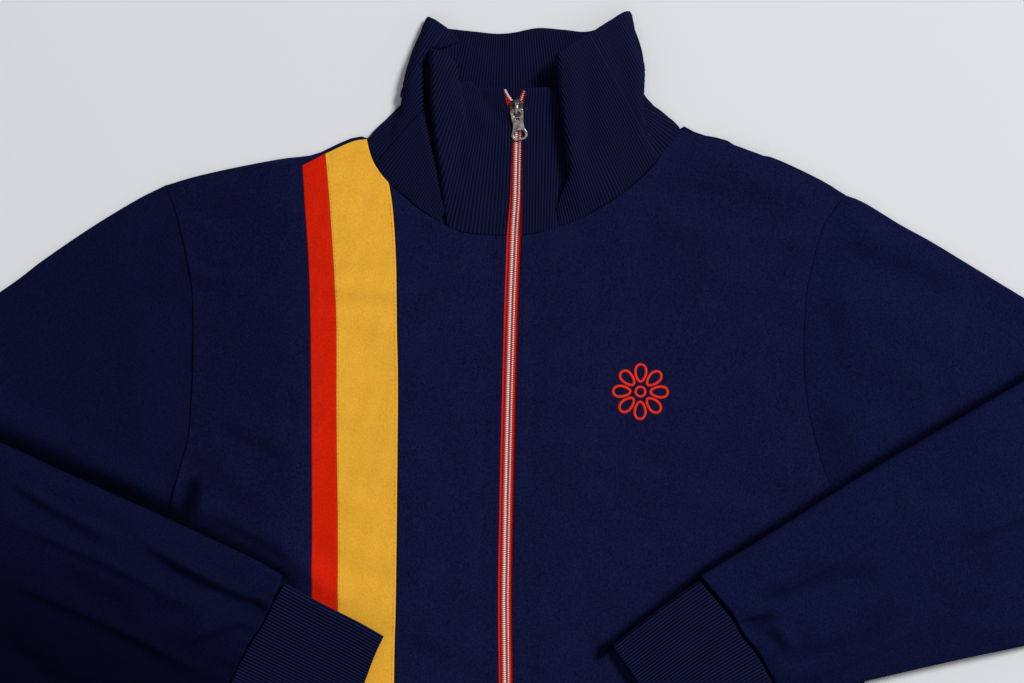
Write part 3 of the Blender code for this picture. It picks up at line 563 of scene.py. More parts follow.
front_left = front_panel(
    "front_left_panel", "front_left",
    (hem_between(ZIP_HALF_GAP, BODY_HALF - 4),
     then(route(LEFT_NECK), turned(route(FRONT_SHOULDER["left"])), 0.5),
     moved(zip_edge, ZIP_HALF_GAP), body_sides["left"]),
    (232, 590), navy, 21, 3.4)
front_side = front_panel(
    "front_right_side_panel", "front_right_side",
    (hem_between(-BODY_HALF + 4, -128 - HALF_SEAM), moved(route(shoulder[:4]), -HALF_SEAM),
     body_sides["right"], moved(lines["side to red"], -HALF_SEAM)),
    (105, 576), navy, 22)
front_centre = front_panel(
    "front_right_centre_panel", "front_right_centre",
    (hem_between(-72 + HALF_SEAM, -ZIP_HALF_GAP), turned(route(RIGHT_NECK)),
     moved(lines["yellow to centre"], HALF_SEAM), moved(zip_edge, -ZIP_HALF_GAP)),
    (72, 560), navy, 23)

red_knit = knit("red_knit", (0.57, 0.0105, 0.0020), (0.72, 0.0175, 0.0032), sheen=0.02)
yellow_knit = knit("yellow_knit", (0.77, 0.37, 0.029), (0.89, 0.465, 0.044), sheen=0.02)
red_stripe = front_panel(
    "red_stripe", "stripe_red",
    (hem_between(-128 + HALF_SEAM, -110.5 - HALF_SEAM), route((shoulder[3], shoulder[4])),
     moved(lines["side to red"], HALF_SEAM), moved(lines["red to yellow"], -HALF_SEAM)),
    (17.4, 584), red_knit, 24, 2.2)
yellow_stripe = front_panel(
    "yellow_stripe", "stripe_yellow",
    (hem_between(-110.5 + HALF_SEAM, -72 - HALF_SEAM), route(shoulder[4:]),
     moved(lines["red to yellow"], HALF_SEAM),
     moved(then(lines["yellow to centre"], route(RIGHT_NECK_AT_STRIPE), 0.9), -HALF_SEAM)),
    (40, 590), yellow_knit, 25, 2.2)


# ---------------------------------------------------------------------------------------------
# The sleeves. Each is one tube of the same knit, laid flat, folded over at the elbow and brought
# back across the body, so its outer fold runs from the shoulder to the elbow and on to the cuff.
FOREARM_FLOOR = 3.7
PRESSED = 2 * KNIT + 0.4
ELBOW_HEIGHT = PRESSED + 0.15
OFF_ARMHOLE = 0.14
UPPER_ARM_LONG, FOREARM_LONG, SLEEVE_WIDE, SLEEVE_CELL = 230, 330, 200, 3.0
SLEEVES = {
    "right": {
        "outer upper": ((-231, 99), (-250, 89), (-280, 70), (-311, 48), (-339, 26.5), (-429, -35)),
        "under upper": ((-240, -147), (-300, -178), (-416, -225)),
        "outer fore": ((-429, -35), (-337, -72), (-289, -93), (-226, -120), (-170, -145), (-148, -157)),
        "under fore": ((-416, -225), (-330, -246), (-260, -255), (-192, -253)),
        "cuff seam": ((-148, -157), (-153.6, -172), (-159.3, -186), (-168.7, -201), (-182, -229),
                      (-192, -253)),
    },
    "left": {
        "outer upper": ((218, 101), (231, 96), (255, 82), (275, 71.5), (300, 57), (337, 35.5), (386, 7)),
        "under upper": ((236, -142), (300, -158), (388, -183)),
        "outer fore": ((386, 7), (338, -19), (285, -51), (231, -84), (178, -119), (126.6, -152)),
        "under fore": ((388, -183), (341, -194), (297, -204), (237, -219), (184, -233)),
        "cuff seam": ((126.6, -152), (138.2, -165), (148.4, -177), (156, -190), (166, -202), (184, -233)),
    },
}

# start x, y; end x, y; half width; rise; bow
UPPER_ARM_CREASES = {
    "right": (
        (-222, 84, -300, 20, 14, 1.4, 5),
        (-216, 40, -320, -20, 12, -1.0, 0),
        (-214, 0, -300, -40, 14, 0.9, 4),
        (-216, 52, -236, 46, 4, 0.7, 0),
        (-216, -30, -250, -60, 8, 0.7, 0),
        (-260, 70, -350, 4, 9, 0.8, 0),
    ),
    "left": (
        (212, 88, 300, 46, 13, 1.2, 3),
        (205, 66, 330, 16, 11, -1.0, -3),
        (200, 40, 300, 0, 13, 1.0, 0),
        (196, -10, 262, -40, 12, -0.7, 0),
        (214, 20, 290, -30, 10, 0.7, 3),
        (300, 46, 360, 0, 9, -0.8, 0),
    ),
}
FOREARM_CREASES = {
    "right": (
        (-330, -80, -240, -118, 9, 1.6, 0),
        (-330, -95, -258, -133, 3.2, 2.2, 1),
        (-330, -104, -262, -142, 5, -1.6, 1),
        (-240, -134, -170, -171, 3.4, 2.4, 1),
        (-236, -149, -158, -183, 6.5, -4.6, 1),
        (-174, -176, -150, -188, 6.0, -4.5, 0),
        (-320, -126, -215, -172, 3.2, 2.6, -2),
        (-300, -156, -245, -184, 10, -3.4, 0),
        (-240, -181, -205, -183, 6, -1.8, 0),
        (-325, -163, -200, -219, 3.2, 2.8, -3),
        (-318, -173, -205, -228, 6, -2.0, -3),
        (-222, -213, -166, -190, 5, -3.2, -2),
        (-215, -204, -178, -190, 4, 1.6, -2),
        (-335, -203, -290, -231, 8, -3.4, 0),
        (-335, -213, -203, -226, 2.2, 1.0, 5),
        (-410, -90, -335, -112, 9, -2.4, 0),
        (-412, -170, -335, -180, 10, 2.2, 0),
        (-400, -130, -335, -150, 8, 1.8, 0),
    ),
    "left": (
        (168, -164, 262, -105, 3.2, 2.4, 3),
        (170, -170, 240, -143, 7, -3.0, 2),
        (150, -185, 174, -178, 2.8, -4.6, 0),
        (162, -168, 180, -159, 5, -2.2, 0),
        (152, -181, 184, -198, 5, -2.0, 0),
        (176, -182, 188, -200, 5, 1.8, 0),
        (262, -93, 300, -99, 9, -2.2, 0),
        (300, -123, 340, -104, 4, 1.8, 0),
        (298, -131, 345, -113, 7, -1.8, 0),
        (255, -98, 280, -84, 5, 1.4, 0),
        (186, -218, 262, -184, 3.4, 2.4, 3),
        (188, -208, 242, -188, 8, -2.2, 0),
        (240, -213, 345, -186, 2.2, -1.0, 2),
        (200, -140, 300, -90, 12, 1.2, 0),
        (345, -60, 372, -120, 9, -2.0, 0),
    ),
}


def layered(plan, lengths, floor, thick, swell, inset):
    """Upper and lower skins of a flattened tube over rows of plan points."""
    width = lengths[:, -1:]
    near = np.minimum(lengths, width - lengths)
    full = np.sqrt(np.maximum(0, 1 - (1 - np.clip(near / (thick / 2), 0, 1)) ** 2))
    half = thick / 2 - inset
    points = plan.copy()
    if inset:
        for end, inner in ((0, 1), (-1, -2)):
            toward = points[:, inner] - points[:, end]
            points[:, end] += unit(toward) * inset
    upper = floor + thick / 2 + half * full + swell
    lower = floor + thick / 2 - half * full
    return points, upper, lower


def ring_loop(points, upper, lower, start_low=False):
    """Rings of points round a flattened tube, starting at its outer edge."""
    top = np.dstack([points, upper])
    bottom = np.dstack([points, lower])
    if start_low:
        top, bottom = bottom, top
    return np.concatenate([top, bottom[:, -2:0:-1]], axis=1)


def tube_shell(name, outer, inner, material, marks=None):
    """A cloth tube with open ends, between an outer and an inner grid of rings."""
    rows, around, _ = outer.shape
    count = rows * around
    faces = [grid_faces(rows, around, 0, True), grid_faces(rows, around, count, True)[:, ::-1]]
    i = np.arange(around)
    j = (i + 1) % around
    last = (rows - 1) * around
    faces.append(np.stack([i, i + count, j + count, j], axis=-1)[:, ::-1])
    faces.append(np.stack([last + i, last + j, last + count + j, last + count + i], axis=-1)[:, ::-1])
    points = np.concatenate([outer.reshape(-1, 3), inner.reshape(-1, 3)])
    both = on_both_skins(marks)
    return faced_out(finished(name, points, np.concatenate(faces), material, both))


def painted_shade_of(side, rings, upper_rows):
    """Painted shade on a sleeve, for light falling from the other side: some everywhere, more down the
    forearm, most on the right sleeve, and full in the crevice above each forearm.
    """
    below = -above_forearm(rings[..., 0], rings[..., 1], side)
    least, more = (0.42, 0.50) if side == "right" else (0.02, 0.12)
    under = crevice_shade_mask(rings[..., 0], rings[..., 1]) * (np.arange(len(rings)) < upper_rows)[:, None]
    return np.maximum(least + more * smooth(8, 110, below), under)


def sleeve(side):
    lines = {name: route(points) for name, points in SLEEVES[side].items()}
    outward = -1 if side == "right" else 1
    off = outward * OFF_ARMHOLE
    armhole = turned(route(ARMHOLE[side]))
    elbow = route((SLEEVES[side]["outer upper"][-1], SLEEVES[side]["under upper"][-1]))
    across = spaced(SLEEVE_WIDE, SLEEVE_CELL, (0.15, 0.5, 1.1, 2.0, 3.2, 5.0))
    up = spaced(UPPER_ARM_LONG, SLEEVE_CELL)
    upper_rows = len(up)
    upper_plan = patch(moved(armhole, off), moved(elbow, off), moved(lines["outer upper"], off),
                       moved(lines["under upper"], off), across, up)
    x, y = upper_plan[..., 0], upper_plan[..., 1]
    lengths = lengths_across(upper_plan)
    share = lengths / lengths[:, -1:]
    along = np.asarray(up)[:, None] * UPPER_ARM_LONG
    open_cloth = uncovered(x, y) * smooth(-4, 40, along) * smooth(0, 60, UPPER_ARM_LONG - along)
    bell = np.maximum(0, np.sin(math.pi * share)) ** 1.2
    soft = (5.4 * bell + pushed_up(x, y) + 2.4 * creases(x, y, UPPER_ARM_CREASES[side])
            + 0.4 * ripple(x, y, 40, 31 + outward))
    inside = smooth(0, 14, np.minimum(lengths, lengths[:, -1:] - lengths))
    swell = np.maximum(soft, -0.6) * open_cloth * inside
    seam_dip = rolled(along, 0.65) + 0.0 * x
    loops = []
    for inset in (0.0, KNIT):
        flat_plan, high, low = layered(upper_plan, lengths, 0.0, PRESSED + 0.4 * open_cloth, swell, inset)
        loops.append([ring_loop(flat_plan, high - seam_dip * (inset == 0), low)])

    crease_plan, crease_lengths = upper_plan[-1:], lengths[-1:]
    for angle in np.radians(np.arange(15, 180, 15)):
        for inset, loop in zip((0.0, KNIT), loops):
            flat_plan, high, low = layered(crease_plan, crease_lengths, 0.0, PRESSED, 0.0, inset)
            ring = ring_loop(flat_plan, high, low)
            reach = ELBOW_HEIGHT - ring[..., 2]
            ring = np.dstack([ring[..., 0] + outward * reach * math.sin(angle), ring[..., 1],
                              ELBOW_HEIGHT - reach * math.cos(angle)])
            loop.append(ring)

    up = spaced(FOREARM_LONG, SLEEVE_CELL)[1:]
    fore_plan = patch(moved(elbow, off), lines["cuff seam"], lines["outer fore"], lines["under fore"],
                      across, up)
    x, y = fore_plan[..., 0], fore_plan[..., 1]
    lengths = lengths_across(fore_plan)
    share = lengths / lengths[:, -1:]
    along = np.asarray(up)[:, None] * FOREARM_LONG
    to_cuff = FOREARM_LONG - along
    fill = smooth(0, 110, along) * (0.55 + 0.45 * smooth(0, 60, to_cuff))
    thick = PRESSED + 6.0 * fill
    bell = np.maximum(0, np.sin(math.pi * share)) ** 0.8
    gathers = 0.6 * np.sin(lengths * 2 * math.pi / 11 + 1.7 * np.sin(lengths / 9.0)) * np.exp(-to_cuff / 13)
    soft = (5.0 * bell * fill + 1.25 * creases(x, y, FOREARM_CREASES[side])
            + 0.5 * ripple(x, y, 38, 41 + outward))
    inside = smooth(0, 12, np.minimum(lengths, lengths[:, -1:] - lengths)) * smooth(0, 40, along)
    swell = np.maximum(soft, -4.4) * inside * (0.6 + 0.4 * smooth(0, 12, to_cuff)) + gathers * inside
    seam_dip = rolled(to_cuff, 1.6) + 0.0 * x
    for inset, loop in zip((0.0, KNIT), loops):
        flat_plan, high, low = layered(fore_plan, lengths, FOREARM_FLOOR, thick, swell, inset)
        loop.append(ring_loop(flat_plan, high - seam_dip * (inset == 0), low, start_low=True))
    made = tube_shell(f"sleeve_{side}_cloth", np.concatenate(loops[0]), np.concatenate(loops[1]),
                      navy_sleeve, {"painted_shade": painted_shade_of(side, np.concatenate(loops[0]), upper_rows)})
    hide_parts("sleeve_" + side)
    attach(made, "jacket")
    return made


sleeve("right")
sleeve("left")


# ---------------------------------------------------------------------------------------------
# The cuffs. Tubes of one-and-one rib, sewn to the gathered end of each sleeve, their ribs running
# towards the hand. They lie on the fronts, the right one across both stripes.
RIB = 1.7
RIB_PITCH = 1.95
RIB_DEPTH = 0.24
SAMPLES_PER_RIB = 5
CUFF_LONG = 72
CUFFS = {
    "right": {
        "start": ((-147, -162), (-153.6, -174), (-159.3, -187), (-168.7, -202), (-181, -228), (-189, -250)),
        "end": ((-81, -195.6), (-87.7, -211), (-98, -240), (-115, -281)),
        "outer": ((-147, -162), (-121.7, -175), (-97.7, -186.5), (-81, -195.6)),
        "under": ((-189, -250), (-150, -266), (-115, -281)),
    },
    "left": {
        "start": ((125.8, -155), (137.5, -168), (147.5, -180), (155, -192), (165, -204), (181, -231)),
        "end": ((69.5, -198.6), (77.3, -210), (95, -234), (121, -267)),
        "outer": ((125.8, -155), (108, -168), (90, -182), (69.5, -198.6)),
        "under": ((181, -231), (150, -248), (121, -267)),
    },
}


def rib_knit(name, furrow_shade, ridge):
    """One-and-one rib: the ridges carry the colour, and painted shade darkens the furrows between them."""
    made, tree, shader = node_tree(name)
    stitches = noise(tree, own_place(tree), 1100.0)
    height = plus_share(tree, stitches, 0.5, marked(tree, "rib"))
    tree.links.new(two_tone(tree, height, furrow_shade, ridge, 0.38, 1.28 / 1.5), shader.inputs["Base Color"])
    roughened(tree, shader, stitches, 0.3, 0.0003)
    settings(shader, {"Roughness": 0.9, "Specular IOR Level": 0.04, "Sheen Weight": 0.04,
                      "Sheen Roughness": 0.5, "Sheen Tint": (*ridge, 1)})
    return made


# In both rib knits the first colour is painted shade in the furrows between ribs and the second is the rib's
# own navy; the cuffs' furrows are painted darker still.
navy_rib = rib_knit("navy_rib", (0.0020, 0.0027, 0.0118), (0.0070, 0.0090, 0.0410))
navy_cuff = rib_knit("navy_cuff_rib", (0.0008, 0.0011, 0.0050), (0.0072, 0.0100, 0.0460))


def cuff(side):
    lines = {name: route(points) for name, points in CUFFS[side].items()}
    width = lines["end"].length
    ribs = round(width / RIB_PITCH)
    across = np.linspace(0, 1, ribs * SAMPLES_PER_RIB + 1)
    up = np.array([0, 0.008, 0.02, 0.05, 0.12, 0.22, 0.34, 0.46, 0.58, 0.7, 0.82, 0.9, 0.95, 0.975, 0.99, 1])
    plan = patch(lines["start"], lines["end"], lines["outer"], lines["under"], across, up)
    lengths = lengths_across(plan)
    phase = 2 * math.pi * ribs * across[None, :] + 0.0 * lengths
    wave = np.cos(phase)
    along = np.asarray(up)[:, None] * CUFF_LONG
    thick = 2 * RIB + 3.6 + 0.0 * lengths
    x, y = plan[..., 0], plan[..., 1]
    swell = (0.9 * np.maximum(0, np.sin(math.pi * across[None, :])) ** 0.7 + 0.25 * ripple(x, y, 30, 51)
             * np.sin(math.pi * across[None, :]))
    dip = rolled(along, 1.4) + rolled(CUFF_LONG - along, 1.0) + 0.0 * lengths
    outer_inner = []
    for inset in (0.0, RIB):
        points, high, low = layered(plan, lengths, FOREARM_FLOOR, thick, swell, inset)
        sign = 1 if inset == 0 else -1
        high = high + sign * RIB_DEPTH * wave - dip * (inset == 0)
        low = low - sign * 0.4 * RIB_DEPTH * (wave - 1) * (inset == 0)
        outer_inner.append(ring_loop(points, high, low))
    ring_wave = np.concatenate([wave, wave[:, -2:0:-1]], axis=1)
    # The rib mark sets the painted furrow shade; on the right cuff it is cut to 0.88, painted shade for a
    # cuff that lies turned from the light.
    made = tube_shell(f"cuff_{side}_rib", *outer_inner, navy_cuff,
                      {"rib": (0.5 + 0.5 * ring_wave) * (0.88 if side == "right" else 1.0)})
    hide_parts("cuff_" + side)
    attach(made, "jacket")
    return made


cuff("right")
cuff("left")


# ---------------------------------------------------------------------------------------------
# The collar. A tall funnel of folded rib from zip to zip. Laid down, its back is flat, and each
# side buckles into a standing fold: the right one tucks under the pleat beside the zip, and the
# left one rises in one big flap. Each layer is listed rib by rib, from its foot to its top.
COLLAR_WALL = 1.8

# lines where the layers fold over, in plan
RIGHT_OUTLINE = ((-58.6, 213.6), (-61.6, 209), (-64.4, 201.3), (-68.8, 189.2), (-72, 180), (-74.3, 169.8),
                 (-75.2, 159.6), (-77.3, 149.2))
RIGHT_FOLD = ((-77.3, 149.2), (-80.4, 142.5), (-82, 138), (-83, 132.3), (-85.5, 124))
LEFT_OUTLINE = ((73.4, 219.4), (75.8, 210), (77.7, 201), (80.7, 190.8), (83.4, 181.8), (83.6, 173.9),
                (83.3, 164.8))
LEFT_FOLD = ((83.3, 164.8), (83.7, 155.8), (84.3, 149), (86.8, 138.9), (89.8, 131), (92.6, 125))
RIGHT_GROOVE = ((-46.6, 91), (-50.3, 105.8), (-54.6, 124.9), (-58.3, 141.8), (-60.8, 153.1), (-61.4, 170),
                (-61.3, 181.4), (-59.2, 188.2))
PLEAT_EDGE = ((-44.8, 78), (-45.4, 85.5), (-47.3, 96.8), (-50.4, 113.7), (-53.6, 132.9), (-54.9, 144.2),
              (-56.1, 157.7), (-56.6, 170.2), (-57.1, 181.5), (-57.6, 190.2))
PLEAT_CREST = ((-31.8, 132), (-32.8, 140), (-34.7, 149), (-36.5, 158), (-37.8, 167), (-39.2, 176),
               (-39.8, 183))
FLAP_EDGE = ((28, 90), (31, 99.4), (34.2, 107.3), (34.6, 115.3), (33, 126.6), (30.7, 141.2), (29.4, 152.5),
             (27.6, 165), (26.1, 177.4), (24.8, 186.8))

# foot x, y; top x, y; height at foot, middle and top; how far its middle bows to +X
BACK_RIBS = (
    (-98.2, 132.5, -60.2, 212.2, 1.3, 1.3, 1.3, 14),
    (-92, 131, -58, 210.8, 1.2, 1.2, 1.2, 11),
    (-78, 127.2, -50.8, 207.0, 1.0, 1.0, 1.0, 5),
    (-58, 123.2, -40.4, 205.6, 1.0, 1.0, 1.0, 0),
    (-45, 121.3, -29, 204.6, 1.0, 1.0, 1.0, 0),
    (-18, 119.6, -14.6, 203.4, 1.0, 1.0, 1.0, 0),
    (0, 119.3, -3, 204.4, 1.0, 1.0, 1.0, 0),
    (25, 120.5, 13, 207.7, 1.0, 1.0, 1.0, 0),
    (50, 122.3, 30, 206.9, 1.0, 1.0, 1.0, 0),
    (72, 127.2, 46, 206.0, 1.0, 1.0, 1.0, -2),
    (92, 133.6, 62, 211.6, 1.2, 1.2, 1.2, -8),
    (102, 138, 69, 215.6, 1.2, 1.2, 1.2, -13),
    (107, 141.6, 72.6, 217.8, 1.3, 1.3, 1.3, -16),
)
RIGHT_FLAP_TOP_RIBS = (
    (-60.4, 212.0, -58.9, 213.2, 6, 6, 6, 0),
    (-64.4, 201.3, -57.6, 212.4, 8, 8, 7, 0),
    (-68.8, 189.2, -56, 211.6, 9, 9.5, 7.6, 0),
    (-72, 180, -54.3, 210.7, 10, 10.5, 8, 0),
    (-74.3, 169.8, -51.4, 208.8, 10.6, 11, 8, 0),
    (-75.1, 160.2, -48.6, 206.9, 10.8, 11.2, 8, 0),
    (-58.6, 190.4, -47.8, 206.4, 10.6, 9.6, 8, 0),
    (-54.3, 191.4, -46.2, 205.2, 10, 9.4, 8, 0),
    (-48.5, 192.6, -42.2, 201.7, 9.6, 9.2, 8.4, 0),
    (-42, 194.6, -39.4, 198.4, 9.2, 9, 8.8, 0),
    (-38.6, 196.0, -38.3, 196.6, 9, 9, 9, 0),
)
RIGHT_FLAP_RIBS = (
    (-75.1, 160.2, -57.4, 191.6, 10.8, 11.1, 10.4, 0),
    (-76.3, 152.8, -57, 185, 10.8, 11.2, 10.6, 0),
    (-77.3, 149.2, -56.8, 181.4, 10.6, 11.2, 10.8, 0),
    (-80.4, 142.5, -56.4, 177, 9.4, 11.2, 11, 0),
    (-82, 138, -56, 173, 8.4, 11.0, 11, 0),
    (-83, 132.3, -55.6, 168.4, 7.0, 10.8, 11, 0),
    (-84.6, 126, -55.2, 163.8, 5.4, 10.4, 11, 0),
    (-91.8, 115.4, -54.6, 158.6, 3.3, 9.0, 11, 0),
    (-84.2, 104.6, -53, 147, 3.1, 8.8, 11, 0),
    (-73.8, 95.8, -51.4, 131.6, 3.1, 7.6, 9.6, 0),
    (-63.5, 87.2, -48.6, 112.6, 3.1, 5.8, 7.2, 0),
    (-55.5, 81.8, -46.6, 98.6, 3.1, 4.2, 5.0, 0),
    (-49.5, 78.4, -45.2, 87, 3.1, 3.4, 3.6, 0),
)
RIGHT_SIDE_RIBS = (
    (-76.6, 149.9, -70, 158, 3.0, 3.8, 4.4, 0),
    (-80.5, 147.8, -71.4, 157, 2.7, 3.8, 4.4, 0),
    (-86.1, 143.8, -73, 157, 2.4, 3.8, 4.6, 0),
    (-91.6, 139.1, -75, 154, 2.3, 3.8, 4.6, 0),
    (-96.6, 133.2, -77, 149, 2.5, 4.0, 4.8, 0),
    (-98.5, 129.8, -78.6, 145, 2.9, 4.2, 5.0, 0),
    (-97.4, 123.6, -79.6, 140, 3.1, 4.4, 5.4, 0),
    (-94.6, 118.6, -80, 136, 3.1, 4.6, 5.8, 0),
    (-91.4, 114.8, -80.6, 130.6, 3.2, 4.6, 6.0, 0),
)
TUCK_RIBS = (
    (-58.6, 181, -58.2, 192, 6.4, 7.2, 7.6, 0),
    (-50, 180, -49.4, 194, 6.4, 7.2, 7.6, 0),
    (-43, 176, -42.4, 195, 6.4, 7.2, 7.6, 0),
    (-39.4, 170, -38.9, 195.8, 6.6, 7.2, 7.6, 0),
)
PLEAT_RIBS = (
    (-57.5, 189.4, -57.0, 190.2, 16.6, 16.6, 16.6, 0),
    (-57.1, 181.5, -53.6, 190, 17.2, 17.0, 16.4, 0),
    (-56.6, 170.2, -48.8, 188.4, 17.6, 17.2, 15.4, 0),
    (-56.1, 157.7, -44, 185.4, 17.2, 16.8, 14.4, 0),
    (-54.9, 144.2, -39.6, 179.8, 15.8, 15.8, 13.4, 0),
    (-53.6, 132.9, -38.4, 169.8, 14.0, 14.6, 13.2, 0),
    (-50.4, 113.7, -33.4, 170.1, 10.4, 12.4, 12.8, 0),
    (-47.3, 96.8, -29.4, 169.6, 7.2, 10.4, 12.6, 0),
    (-45.4, 85.5, -26.8, 166.6, 4.6, 9.0, 12.4, 0),
    (-43.6, 75.4, -24.4, 165.4, 3.2, 8.4, 12.2, 0),
    (-37.2, 72.8, -21.4, 165.7, 3.2, 8.0, 12.2, 0),
    (-28, 71.3, -17.6, 166.2, 3.5, 7.8, 12.2, 0),
    (-18, 70.8, -12.6, 166.5, 3.9, 7.6, 12.0, 0),
    (-10, 70.6, -7.4, 166.4, 3.95, 7.6, 12.0, 0),
    (-4.8, 70.6, -3.3, 166.2, 3.95, 7.6, 12.0, 0),
)
LEFT_FRONT_RIBS = (
    (4.8, 71.0, 3.3, 166.4, 3.95, 7.6, 12.0, 0),
    (11, 71.9, 10.2, 166.8, 3.95, 7.6, 12.0, 0),
    (17, 73.0, 17, 167.2, 3.9, 7.5, 11.8, 0),
    (22, 74.0, 23, 167.3, 3.7, 7.1, 11.2, 0),
    (25.4, 74.8, 27.2, 167.1, 3.5, 6.2, 9.2, 0),
    (28.6, 75.8, 31.4, 166.6, 3.2, 4.6, 6.0, 0),
    (32, 77.4, 36, 162, 3.0, 3.8, 4.6, 0),
)
LEFT_FLAP_RIBS = (
    (30.2, 76.4, 28.0, 90, 3.1, 4.2, 5.0, 0),
    (36.5, 79, 31, 99, 3.1, 6.2, 8.0, 0),
    (43.2, 82.2, 34.2, 109, 3.1, 8.8, 12.2, 0),
    (48.6, 85.6, 32.8, 129, 3.1, 12.2, 16.8, 0),
    (54.4, 89.2, 29.4, 153, 3.1, 14.6, 20.2, 0),
    (62.2, 93.9, 26.8, 172, 3.1, 15.8, 21.6, 0),
    (71.1, 100.2, 24.9, 186.6, 3.1, 16.4, 22.2, 0),
    (76.6, 105.0, 29.8, 190.4, 3.1, 16.0, 21.8, 0),
    (82.3, 110.1, 35.4, 194.7, 3.1, 15.4, 20.8, 0),
    (87.8, 116.2, 40.6, 198.2, 3.1, 14.8, 19.4, 0),
    (92.9, 121.6, 45.6, 201.6, 3.6, 14.4, 18.2, 0),
    (90.4, 130, 48.4, 203.6, 7.4, 14.2, 17.4, 0),
    (86.8, 138.9, 50.5, 205, 10.2, 14.2, 16.8, 0),
    (84.3, 149, 52.4, 206.4, 12.2, 14.0, 16.2, 0),
    (83.7, 155.8, 54.6, 207.9, 13.0, 14.0, 15.4, 0),
    (83.3, 164.8, 57.4, 209.9, 13.2, 14.0, 14.4, 0),
    (83.5, 173.9, 60.8, 212.2, 13.0, 13.6, 13.2, 0),
    (83.4, 181.8, 63.8, 214.4, 12.4, 12.8, 12.0, 0),
    (80.7, 190.8, 66.6, 216.4, 11.4, 11.6, 10.6, 0),
    (77.7, 201, 69.4, 218.2, 9.8, 9.8, 9.2, 0),
    (75.8, 210, 71.2, 219, 8, 8, 7.8, 0),
    (74.4, 216.6, 72.8, 219.4, 6.4, 6.4, 6.4, 0),
)
LEFT_SIDE_RIBS = (
    (83.0, 165.4, 76, 172, 3.2, 4.0, 4.6, 0),
    (87.6, 160, 74.6, 170, 2.8, 4.0, 4.8, 0),
    (92.7, 155, 73.6, 168, 2.5, 4.0, 4.8, 0),
    (100.7, 149.4, 75, 164, 2.4, 4.0, 5.0, 0),
    (108.2, 141.8, 78, 158, 2.8, 4.2, 5.2, 0),
    (104.3, 133.4, 79.6, 152, 3.1, 4.6, 5.6, 0),
    (98.9, 127.4, 81.4, 145, 3.1, 4.8, 6.0, 0),
    (92.6, 121.4, 82.4, 137, 3.3, 5.2, 6.4, 0),
)


def away_from(x, y, line):
    """How far each point lies from a line of plan points."""
    dense = route(line)(np.linspace(0, 1, 70))
    return np.sqrt(np.min((x[..., None] - dense[:, 0]) ** 2 + (y[..., None] - dense[:, 1]) ** 2, axis=-1))


def right_of(x, y, line):
    """How far each point lies to the right of a line whose rows climb in y."""
    points = np.array(line)
    return x - np.interp(y, points[:, 1], points[:, 0])


def round_over(distance, radius):
    """From 0 at a rolled edge to 1 on the flat beyond it."""
    return np.sqrt(1 - (1 - np.clip(distance / radius, 0, 1)) ** 2)


def right_flap_form(x, y, z):
    fold = round_over(away_from(x, y, (*RIGHT_OUTLINE, *RIGHT_FOLD[1:])), 6.0)
    fold = 1 - (1 - fold) * smooth(118, 136, y)
    z = 2.6 + (z - 2.6) * fold
    into = smooth(-3.2, 1.8, right_of(x, y, RIGHT_GROOVE)) * smooth(80, 118, y) * (1 - smooth(185, 190, y))
    return z - 8.2 * into * (0.45 + 0.55 * smooth(95, 145, y)) + 0.35 * ripple(x, y, 30, 61)


def flap_top_form(x, y, z):
    z = right_flap_form(x, y, z)
    under = round_over(away_from(x, y, ((-59.4, 190.4), (-48.5, 192.4), (-38.4, 196.2))), 2.6)
    return z - 2.2 * (1 - under) * smooth(-60, -56, x)


def side_form(x, y, z):
    return z + 0.25 * ripple(x, y, 18, 62)


def pleat_form(x, y, z):
    edge = right_of(x, y, PLEAT_EDGE)
    z = z - 8.0 * (1 - round_over(edge, 2.8)) * smooth(80, 125, y)
    step = 1 - smooth(-1.0, 1.2, right_of(x, y, PLEAT_CREST))
    z = z + 2.4 * step * smooth(126, 160, y) * np.exp(-np.maximum(0, -right_of(x, y, PLEAT_CREST) - 6) / 9)
    z = z + creases(x, y, ((-25.5, 165, -6.5, 141, 3.6, -1.1, 0), (-33, 158, -16, 138, 4.5, 0.7, 0),
                           (-48, 150, -42, 96, 5, 0.5, 0), (-20, 120, -24, 84, 6, -0.3, 0)))
    return z + 0.22 * ripple(x, y, 26, 63)


def flap_form(x, y, z):
    fold = round_over(away_from(x, y, (*LEFT_OUTLINE, *LEFT_FOLD[1:])), 7.0)
    fold = 1 - (1 - fold) * smooth(116, 134, y)
    z = 2.8 + (z - 2.8) * fold
    z = z - 9.0 * (1 - round_over(away_from(x, y, FLAP_EDGE), 3.4)) * smooth(92, 124, y)
    z = z + creases(x, y, ((46, 184, 48, 108, 6.5, -1.5, 0), (36, 180, 39, 120, 4.5, 0.8, 0),
                           (62, 190, 66, 120, 8, 0.7, 2), (78, 150, 72, 112, 6, -0.7, 0)))
    return z + 0.3 * ripple(x, y, 30, 64)


def plain_form(x, y, z):
    return z


def collar_lean(y):
    """How the standing zip sways between the neckline and the slider, 0 to 1."""
    return smooth(68, 98, y) * (1 - smooth(138, 152, y))


def smooth_rows(keys, position):
    """Rows of a table read between its lines, smoothly."""
    padded = with_ends(keys)
    index = np.clip(position.astype(int), 0, len(keys) - 2)
    t = (position - index)[:, None]
    return through(padded[index], padded[index + 1], padded[index + 2], padded[index + 3], t)


